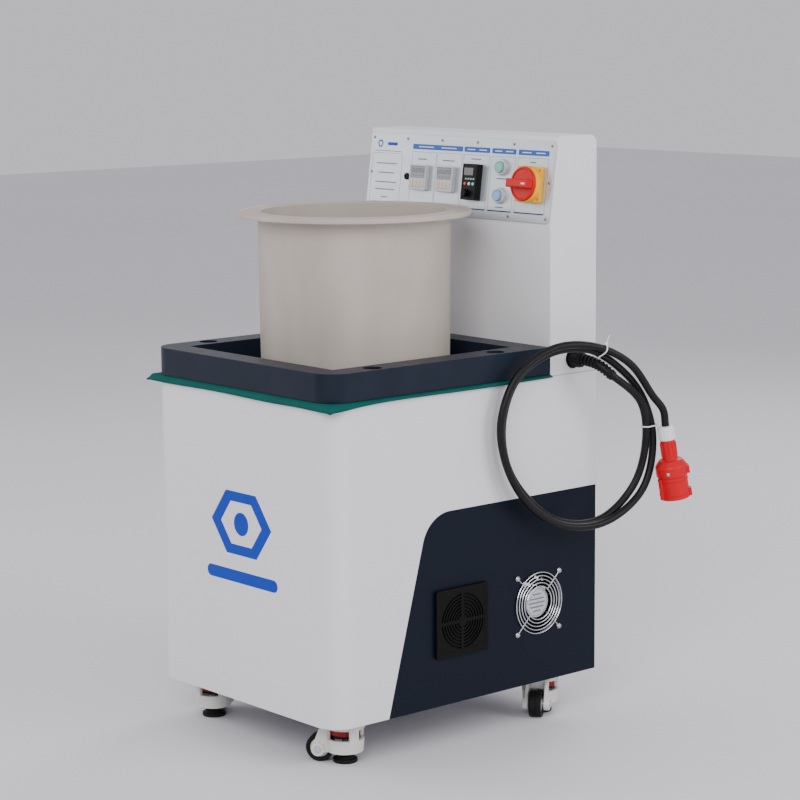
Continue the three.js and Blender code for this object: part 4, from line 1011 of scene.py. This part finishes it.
def add_timers():
    for number, u in enumerate((-102, -27), 1):
        v = 69
        bezel = plate(rectangle(48, 48, 2, u, v), 9, on_panel(0, 0), [rectangle(41, 22, 1, u, v + 10)], 0.9)
        tail = plate(rectangle(44.4, 44.4, 1.5, u, v), 62, on_panel(0, 0, PANEL_FACE - 61.5), edge=0.8)
        name = f"timer_{number}"
        piece(f"{name}_case", joined(bezel, tail), TIMER_GREY, nodes=[name])
        glass = plate(rectangle(40.6, 21.6, 1, u, v + 10), 7.6, on_panel(0, 0), edge=0.3)
        piece(f"{name}_window", glass, TIMER_DARK)
        digits = []
        for k in range(4):
            centre = u - 13.5 + 9 * k
            for dv, w, h in ((6.5, 4.6, 0.9), (0, 4.6, 0.9), (-6.5, 4.6, 0.9)):
                digits.append(plate(rectangle(w, h, 0.3, centre, v + 10 + dv), 0.15, on_panel(0, 0, PANEL_FACE + 7.6)))
            for du in (-2.7, 2.7):
                digits.append(plate(rectangle(0.9, 5, 0.3, centre + du, v + 13.2), 0.15, on_panel(0, 0, PANEL_FACE + 7.6)))
        piece(f"{name}_digits", joined(*digits), BLACK)
        keys = [
            plate(rectangle(8.2, 12, 1.2, u - 15 + 10 * k, v - 12), 2.2, on_panel(0, 0, PANEL_FACE + 8), edge=0.6)
            for k in range(4)
        ]
        piece(f"{name}_keys", joined(*keys), TIMER_KEYS)


def add_buzzer():
    corners = [(0, 0, 0), (6.5, 0, 0.4), (6.5, 4, 1.6), (3, 4, 0.6), (2.4, 2.6, 0.4), (0, 2.6, 0)]
    cap = lathe(corners, on_panel(-141, 69.5), 40)
    stem = rod(5, 24, on_panel(-141, 69.5, PANEL_FACE - 24.3), 0.5, 32)
    piece("buzzer_cap", joined(cap, stem), BLACK, nodes=["buzzer"])


def add_keypad():
    u, v = 49, 67
    outline = rectangle(41, 67, 1.5, u, v)
    body = plate(outline, 13, on_panel(0, 0), [circle(2.85, 44, 46, 20)], 0.8)
    rails = [plate(rectangle(1.4, 62, 0.5, u + s * 18.2, v), 0.8, on_panel(0, 0, PANEL_FACE + 12.9), edge=0.3) for s in (-1, 1)]
    piece("keypad_case", joined(body, *rails), BLACK, nodes=["keypad_body"])
    face = PANEL_FACE + 13
    screen = plate(rectangle(25, 14, 1, u - 3, 86), 0.5, on_panel(0, 0, face), edge=0.15)
    piece("keypad_window", screen, SCREEN)
    for name, du, material, slot in (
        ("red", 39.4, KEY_RED, "red_moulding"), ("white", 50.8, KEY_WHITE, "plug_white"), ("blue", 61.3, KEY_BLUE, "blue_button"),
    ):
        key = lathe([(0, 0, 0), (3.0, 0, 0), (3.0, 1.6, 0.7), (0, 1.6, 0)], on_panel(du - 1, 63.3, face), 28)
        piece(f"keypad_key_{name}", key, material)
    lamps = [plate(rectangle(4.4, 3.2, 0.6, 40 + 7 * k, 72.4), 0.7, on_panel(0, 0, face), edge=0.25) for k in range(4)]
    piece("keypad_lamps", joined(*lamps), LAMP_GREEN)
    where = on_panel(44, 46, face + 0.3)
    corners = [(0, 0, 0), (7, 0, 0.5), (6.4, 8.9, 1), (0, 8.9, 0)]
    knob = lathe(corners, where, 48)
    flutes = [rod(0.6, 6.5, where @ Matrix.Rotation(2 * math.pi * i / 18, 4, "Z") @ Matrix.Translation((6.5, 0, 1)), 0.2, 8) for i in range(18)]
    pointer = plate(rectangle(1.2, 5.5, 0.3, 0, 3), 0.5, where @ Matrix.Translation((0, 0, 8.7)))
    spindle = rod(2.5, 5, on_panel(44, 46, face - 5), 0.2, 20)
    piece("keypad_dial", joined(knob, *flutes, pointer, spindle), BLACK, "keypad_knob", ["keypad_knob"])


def add_push_button(name, v, material):
    where = on_panel(122, v)
    collar = [
        (11.3, -24, 0), (13, -24, 0.5), (13, 0, 0), (15, 0, 0.5), (15, 4.6, 1.2), (13.4, 7.1, 0.8), (11.3, 7.1, 0.5),
    ]
    barrel = [(0, -34, 0), (12.6, -34, 0.8), (12.6, -12.5, 0.8), (0, -12.5, 0)]
    mesh = joined(lathe(collar, where, 64), lathe(barrel, where, 40))
    piece(f"{name}_ring", mesh, BEZEL_GREY, nodes=[f"{name}_bezel"])
    cap = [(0, -6, 0), (11, -6, 0), (11, 11.4, 1.2), (8.4, 11.4, 0.5), (7.9, 10.8, 0.4), (0, 10.8, 0)]
    piece(f"{name}_lens", lathe(cap, where, 64), material, f"{name}_cap", [f"{name}_cap"])


def add_isolator():
    u, v = 202, 70
    corner_holes = [circle(2.4, u + a * 26, v + b * 26, 20) for a in (-1, 1) for b in (-1, 1)]
    base = plate(rectangle(65, 65, 3, u, v), 8, on_panel(0, 0), [*corner_holes, circle(5.3, u, v, 24)], 1.0, 3)
    collar = [(5.3, 7, 0), (33.5, 7, 0), (33.5, 18, 1.2), (31.9, 19, 0.4), (31.9, 18.2, 0), (5.3, 18.2, 0)]
    ring = lathe(collar, on_panel(u, v), 96)
    piece("isolator_base", joined(base, ring), YELLOW, nodes=["isolator_plate"])
    lock_slots = [
        plate(slot_outline(9, 4.2, 0, 29), 0.3, on_panel(u, v, PANEL_FACE + 8) @ Matrix.Rotation(a, 4, "Z"))
        for a in (-0.7, -2.3)
    ]
    piece("isolator_slots", joined(*lock_slots), BLACK)
    where = on_panel(u, v, PANEL_FACE + 19.4)
    disc = lathe([(0, 0, 0), (31.2, 0, 0.5), (31.2, 4.6, 1.8), (27.5, 4.8, 0.6), (26.5, 3.2, 0.6), (0, 3.2, 0)], where, 96)
    grip_outline = rounded([(-28.5, -8, 3), (28.5, -8, 3), (28.5, 8, 3), (-28.5, 8, 3)])
    grip = plate(grip_outline, 16.5, where @ Matrix.Translation((0, 0, 3)), edge=2.6, steps=4)
    mark = plate(slot_outline(10, 3, 18, 0), 0.4, where @ Matrix.Translation((0, 0, 19.4)))
    spindle = rod(5, 24, on_panel(u, v, PANEL_FACE - 4), 0.3, 32)
    piece("isolator_handle", joined(disc, grip, spindle), KNOB_RED, "isolator_knob", ["isolator_knob"])
    piece("isolator_mark", mark, KEY_WHITE, "isolator_knob")


add_tower()
add_panel_plate()
add_panel_print()
add_timers()
add_buzzer()
add_keypad()
add_push_button("start", 98, GREEN_CAP)
add_push_button("stop", 46, BLUE_CAP)
add_isolator()

# ---- Side vents ----


def ring_sector(inner, outer, middle, half, steps=14):
    """A curved slot between two radii, about the angle middle."""
    angles = [middle - half + 2 * half * i / steps for i in range(steps + 1)]
    out = [Vector((outer * math.cos(a), outer * math.sin(a))) for a in angles]
    back = [Vector((inner * math.cos(a), inner * math.sin(a))) for a in reversed(angles)]
    return out + back


def add_filter_grille():
    grille = node("filter_grille")
    where = on_right(grille.x0, grille.y, grille.z)
    slots = []
    for ring in range(7):
        inner = 11 + ring * 6
        for quarter in range(4):
            middle = math.pi / 4 + quarter * math.pi / 2
            slots.append(ring_sector(inner, inner + 3.2, middle, math.pi / 4 - 3.2 / (inner + 2)))
    rim = plate(rectangle(124, 124, 5), 8, where, [rectangle(112, 112, 3)], 1.4, 3)
    face = plate(rectangle(113, 113, 2), 3, where @ Matrix.Translation((0, 0, 4.4)), slots, 0.35, 1)
    step = plate(rectangle(116, 116, 3), 1.2, where @ Matrix.Translation((0, 0, 6.6)), [rectangle(104, 104, 2)], 0.4, 1)
    piece("grille_cover", joined(rim, face, step), GRILLE_BLACK, nodes=["filter_grille"])
    pad = plate(rectangle(107, 107, 2), 3.6, where @ Matrix.Translation((0, 0, 0.4)), edge=0.8)
    piece("filter_pad", pad, FOAM, nodes=["filter_foam"])


def add_fan():
    frame_box = node("fan_frame")
    y, z = frame_box.y, frame_box.z
    where = on_right(frame_box.x0, y, z)
    corner_holes = [circle(2.2, a * 52.5, b * 52.5, 16) for a in (-1, 1) for b in (-1, 1)]
    depth = frame_box.x1 - frame_box.x0
    flange = [
        plate(rectangle(120, 120, 6), 4, where @ Matrix.Translation((0, 0, at)), [circle(57.5, steps=72), *corner_holes], 0.5)
        for at in (0, depth - 4)
    ]
    barrel = lathe([(57.5, 2, 0), (59.6, 2, 0), (59.6, depth - 2, 0), (57.5, depth - 2, 0)], where, 72)
    hub = lathe([(0, depth - 9, 0), (29.5, depth - 9, 0.6), (29.5, depth - 1.2, 0.8), (0, depth - 1.2, 0)], where, 64)
    struts = []
    for turn in (15, 75, 135):
        turned = where @ Matrix.Rotation(math.radians(turn), 4, "Z") @ Matrix.Translation((0, 0, depth - 7))
        struts.append(plate(rectangle(117, 4.5, 1), 4, turned, edge=0.6))
    piece("fan_housing", joined(*flange, barrel, hub, *struts), BLACK, nodes=["fan_frame"])
    label = plate(circle(28, steps=64), 0.3, where @ Matrix.Translation((0, 0, depth - 1.2)))
    piece("fan_label", label, LABEL_SILVER)
    face = where @ Matrix.Translation((0, 0, depth - 0.9))
    marks = [plate(circle(25.6, steps=64), 0.12, face, [circle(24.6, steps=64)])]
    marks += [plate(slot_outline(w, 3.2, 0, v), 0.12, face) for w, v in ((22, 15), (36, 6.5), (40, -1), (34, -8.5), (20, -16))]
    piece("fan_label_marks", joined(*marks), PRINT_GREY)
    rotor = node("fan_rotor")
    spin = on_right(rotor.x0, y, z)
    length = rotor.x1 - rotor.x0
    core = lathe([(0, 0, 0), (24.5, 0, 2), (24.5, length, 2), (0, length, 0)], spin, 56)
    blades = [fan_blade(spin @ Matrix.Rotation(2 * math.pi * i / 5, 4, "Z"), length) for i in range(5)]
    piece("fan_impeller", joined(core, *blades), BLACK, "fan_rotor", ["fan_rotor"])


def fan_blade(where, length):
    """A twisted blade that widens and flattens towards its tip."""
    shape = bmesh.new()
    stations = 7
    sections = []
    for i in range(stations):
        share = i / (stations - 1)
        radius = 23.5 + share * 31
        pitch = math.radians(48 - 20 * share)
        chord = 26 + 14 * share
        sweep = math.radians(10) * share
        section = []
        for s, t in ((-0.5, 0.0), (-0.25, 0.8), (0.1, 1.1), (0.5, 0.0), (0.1, -0.3), (-0.25, -0.4)):
            tangent = s * chord * math.cos(pitch) - t * math.sin(pitch)
            axial = length / 2 + s * chord * math.sin(pitch) * 0.82 + t * math.cos(pitch)
            angle = sweep + tangent / radius
            section.append(shape.verts.new((radius * math.cos(angle), radius * math.sin(angle), axial)))
        sections.append(section)
    for a, b in zip(sections, sections[1:]):
        for i in range(6):
            j = (i + 1) % 6
            shape.faces.new((a[i], a[j], b[j], b[i]))
    shape.faces.new(sections[0])
    shape.faces.new(reversed(sections[-1]))
    return cleaned(shape, where)


def add_wire_guard():
    guard = node("fan_guard")
    y, z = guard.y, guard.z
    wire = 1.1
    leg_x = guard.x0 + wire
    ring_x = leg_x + 1.9
    wires = []
    for radius in (31, 37.5, 44, 50.5, 57):
        points = [(ring_x, y + p.x, z + p.y) for p in circle(radius, steps=96)]
        wires.append(tube(points, wire, closed=True, sides=3))
    heads = []
    for quarter in range(4):
        angle = math.pi / 4 + quarter * math.pi / 2
        c, s = math.cos(angle), math.sin(angle)
        reach = 52.5 * math.sqrt(2)
        leg = [(leg_x, y + r * c, z + r * s) for r in (30, 40, 50, 60, reach - 4)]
        wires.append(tube(leg, wire))
        eye = [(leg_x, y + reach * c + 4 * math.cos(a), z + reach * s + 4 * math.sin(a)) for a in [i * math.pi / 8 for i in range(16)]]
        wires.append(tube(eye, wire, closed=True, sides=3))
        heads.append(screw(on_right(leg_x + 0.6, y + reach * c, z + reach * s), 4.2, 3))
    piece("guard_wires", joined(*wires), ZINC, nodes=["fan_guard"])
    piece("guard_screws", joined(*heads), ZINC)


add_filter_grille()
add_fan()
add_wire_guard()

# ---- Castors ----

WHEEL_OFFSET = 44
WHEEL_RADIUS = 25
CASTOR_TOP = 77.7


def housing_mesh():
    """The swivel housing with its two arms, drawn trailing towards +x with the floor at zero."""
    shell_corners = [
        (28.5, 20, 0.8), (32.5, 20, 1.2), (34.6, 48, 0), (36, CASTOR_TOP, 1.6), (20.3, CASTOR_TOP, 0.8), (20.3, 63.7, 0), (28.5, 63.7, 1),
    ]
    body = lathe(shell_corners, on_top(0, 0, 0), 72)
    parts = []
    for side in (-1, 1):
        near, far = sorted((side * 15, side * 21))
        arm = rounded([(24.5, CASTOR_TOP, 2), (36.5, CASTOR_TOP, 2), (54.5, 31, 6), (44, 16, 0), (24.5, 21, 2)], 6)
        if side > 0:
            where = place((0, near, 0), (1, 0, 0), UP) @ Matrix.Translation((0, 0, near - far))
        else:
            where = place((0, far, 0), (1, 0, 0), UP)
        parts.append(plate(arm, far - near, where, edge=1.2, steps=3))
        out = place((WHEEL_OFFSET, side * 15, WHEEL_RADIUS), (-side, 0, 0), UP)
        boss = [(0, 0, 0), (12.4, 0, 0.8), (12, 10, 2.2), (8.6, 11, 0.6), (8.2, 9.6, 0.6), (0, 9.6, 0)]
        parts.append(lathe(boss, out, 48))
    bridge = block(24.5, 36, -21, 21, 63.7, CASTOR_TOP, 1.2)
    whole = combined(body, [*parts, bridge], "UNION")
    wheel_room = rod(27.5, 29.2, place((WHEEL_OFFSET, 14.6, WHEEL_RADIUS), (1, 0, 0), UP), 0, 64)
    axle_room = rod(4.3, 80, place((WHEEL_OFFSET, 40, WHEEL_RADIUS), (1, 0, 0), UP), 0, 24)
    windows = [window_wedge(middle, width) for middle, width in ((77, 80), (-77, 80), (180, 64))]
    return combined(whole, [wheel_room, axle_room, *windows])


def window_wedge(middle, width):
    reach = 60
    corners = [(0, 0, 0)]
    for offset in (-width / 2, 0, width / 2):
        angle = math.radians(middle + offset)
        corners.append((reach * math.cos(angle), reach * math.sin(angle), 0))
    return plate(rounded(corners), 19, on_top(0, 0, 44))


def wheel_mesh():
    axis = place((WHEEL_OFFSET, 12, WHEEL_RADIUS), (1, 0, 0), UP)
    tyre = [
        (17, 1.5, 0.8), (23.2, 0, 1), (25, 2, 1.5), (25, 10.6, 0.4), (24.2, 11.2, 0.2), (24.2, 12.8, 0.2), (25, 13.4, 0.4),
        (25, 22, 1.5), (23.2, 24, 1), (17, 22.5, 0.8),
    ]
    return lathe(tyre, axis, 72)


def hub_mesh():
    axis = place((WHEEL_OFFSET, 12, WHEEL_RADIUS), (1, 0, 0), UP)
    hub = [(4.3, 0.4, 0.4), (8, 0.4, 0.8), (8.6, 3.4, 0.6), (17.6, 3.4, 0.6), (17.6, 20.6, 0.6), (8.6, 20.6, 0.6), (8, 23.6, 0.8), (4.3, 23.6, 0.4)]
    return lathe(hub, axis, 48)


def axle_mesh():
    pin = rod(4, 54, place((WHEEL_OFFSET, 27, WHEEL_RADIUS), (1, 0, 0), UP), 0.4, 24)
    heads = []
    for side in (-1, 1):
        out = place((WHEEL_OFFSET, side * 24.7, WHEEL_RADIUS), (-side, 0, 0), UP)
        heads.append(lathe([(0, 0, 0), (6.4, 0, 0.5), (6, 2.2, 1), (3.4, 2.4, 0.4), (3, 1.2, 0.4), (0, 1.2, 0)], out, 32))
    return joined(pin, *heads)


def thumb_meshes():
    outline = []
    for i in range(24 * 6):
        angle = 2 * math.pi * i / (24 * 6)
        radius = 26.6 + 0.8 * math.cos(24 * angle)
        outline.append(Vector((radius * math.cos(angle), radius * math.sin(angle))))
    red = plate(outline, 10, on_top(0, 0, 51), [circle(6.4, steps=32)], 0.7)
    black = plate(circle(24.5, steps=64), 5, on_top(0, 0, 46), [circle(6.4, steps=32)], 0.6)
    return red, black


def foot_mesh():
    pad = [(0, 0, 0), (21, 0, 0.8), (22, 1.6, 0.8), (21.4, 7, 1.6), (17.4, 7.4, 1), (15.6, 12, 1.4), (6, 12.4, 0), (6, 14, 0), (0, 14, 0)]
    return lathe(pad, on_top(0, 0, 0), 64)


def stem_mesh():
    """A threaded stem: its profile steps in and out once each pitch."""
    corners = [(0, 12, 0)]
    z = 12
    while z < 64:
        corners += [(5.2, z, 0), (6.0, z + 0.875, 0)]
        z += 1.75
    corners += [(5.2, z, 0), (0, z, 0)]
    return lathe(corners, on_top(0, 0, 0), 24, 1)


def top_plate_mesh():
    holes = [slot_outline(10, 8.4, a * 27, b * 27) for a in (-1, 1) for b in (-1, 1)]
    sheet = plate(rectangle(73, 73, 6), 3, on_top(0, 0, 78), holes, 0.5)
    hub = lathe([(8, 70, 0.5), (20, 70, 1), (20, 78.2, 0), (8, 78.2, 0)], on_top(0, 0, 0), 64)
    bolts = [hex_head(on_top(a * 27, b * 27, 72) @ Matrix.Translation((0, 0, 0)), 10, 4.4) for a in (-1, 1) for b in (-1, 1)]
    return joined(sheet, hub), joined(*bolts)


CASTORS = {"front_right": 217, "front_left": 128, "rear_right": -53, "rear_left": 64}


def add_castors():
    red, black = thumb_meshes()
    sheet, bolts = top_plate_mesh()
    drawn = [
        ("fork", housing_mesh(), IVORY, "fork", "ivory_casting", ["housing"]),
        ("tyre", wheel_mesh(), TREAD, "wheel", "black_rubber", ["wheel"]),
        ("hub", hub_mesh(), IVORY, "wheel", "ivory_casting", []),
        ("pin", axle_mesh(), ZINC, "fork", "zinc_plate", ["axle"]),
        ("dial", red, DARK_RED, "thumbwheel", "red_moulding", ["thumbwheel"]),
        ("dial_base", black, BLACK, "thumbwheel", "black_moulding", []),
        ("pad", foot_mesh(), TREAD, "foot", "black_rubber", ["foot"]),
        ("stem", stem_mesh(), ZINC, "foot", "zinc_plate", []),
    ]
    for castor, trail in CASTORS.items():
        foot = node(f"castor_{castor}_foot")
        stand = Matrix.Translation((foot.x * MM, foot.y * MM, 0))
        turned = stand @ Matrix.Rotation(math.radians(trail), 4, "Z")
        prefix = f"castor_{castor}"
        for label, mesh, material, body, slot, nodes in drawn:
            copy = mesh.copy()
            copy.transform(turned)
            replaced = [f"{prefix}_{name}" for name in nodes]
            piece(f"{prefix}_{label}", copy, material, f"{prefix}_{body}", replaced)
        base = sheet.copy()
        base.transform(stand)
        piece(f"{prefix}_top", base, IVORY, "root", [f"{prefix}_plate"])
        heads = bolts.copy()
        heads.transform(stand)
        piece(f"{prefix}_bolts", heads, ZINC, "root")
    for mesh in [row[1] for row in drawn] + [sheet, bolts]:
        bpy.data.meshes.remove(mesh)


add_castors()

# ---- Inner pieces that keep their CAD shape ----


def finish_inner_nodes():
    finishes = {
        "base_frame": STEEL,
        "motor_bridge": STEEL,
        "deck_plate": STEEL,
        "drive_motor": MOTOR_BLUE,
        "motor_shaft": STEEL,
        "magnet_disc": ALUMINIUM,
        "inverter_drive": BLACK,
    }
    for name, material in finishes.items():
        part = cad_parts[name]
        part.data.materials.clear()
        part.data.materials.append(material)


finish_inner_nodes()
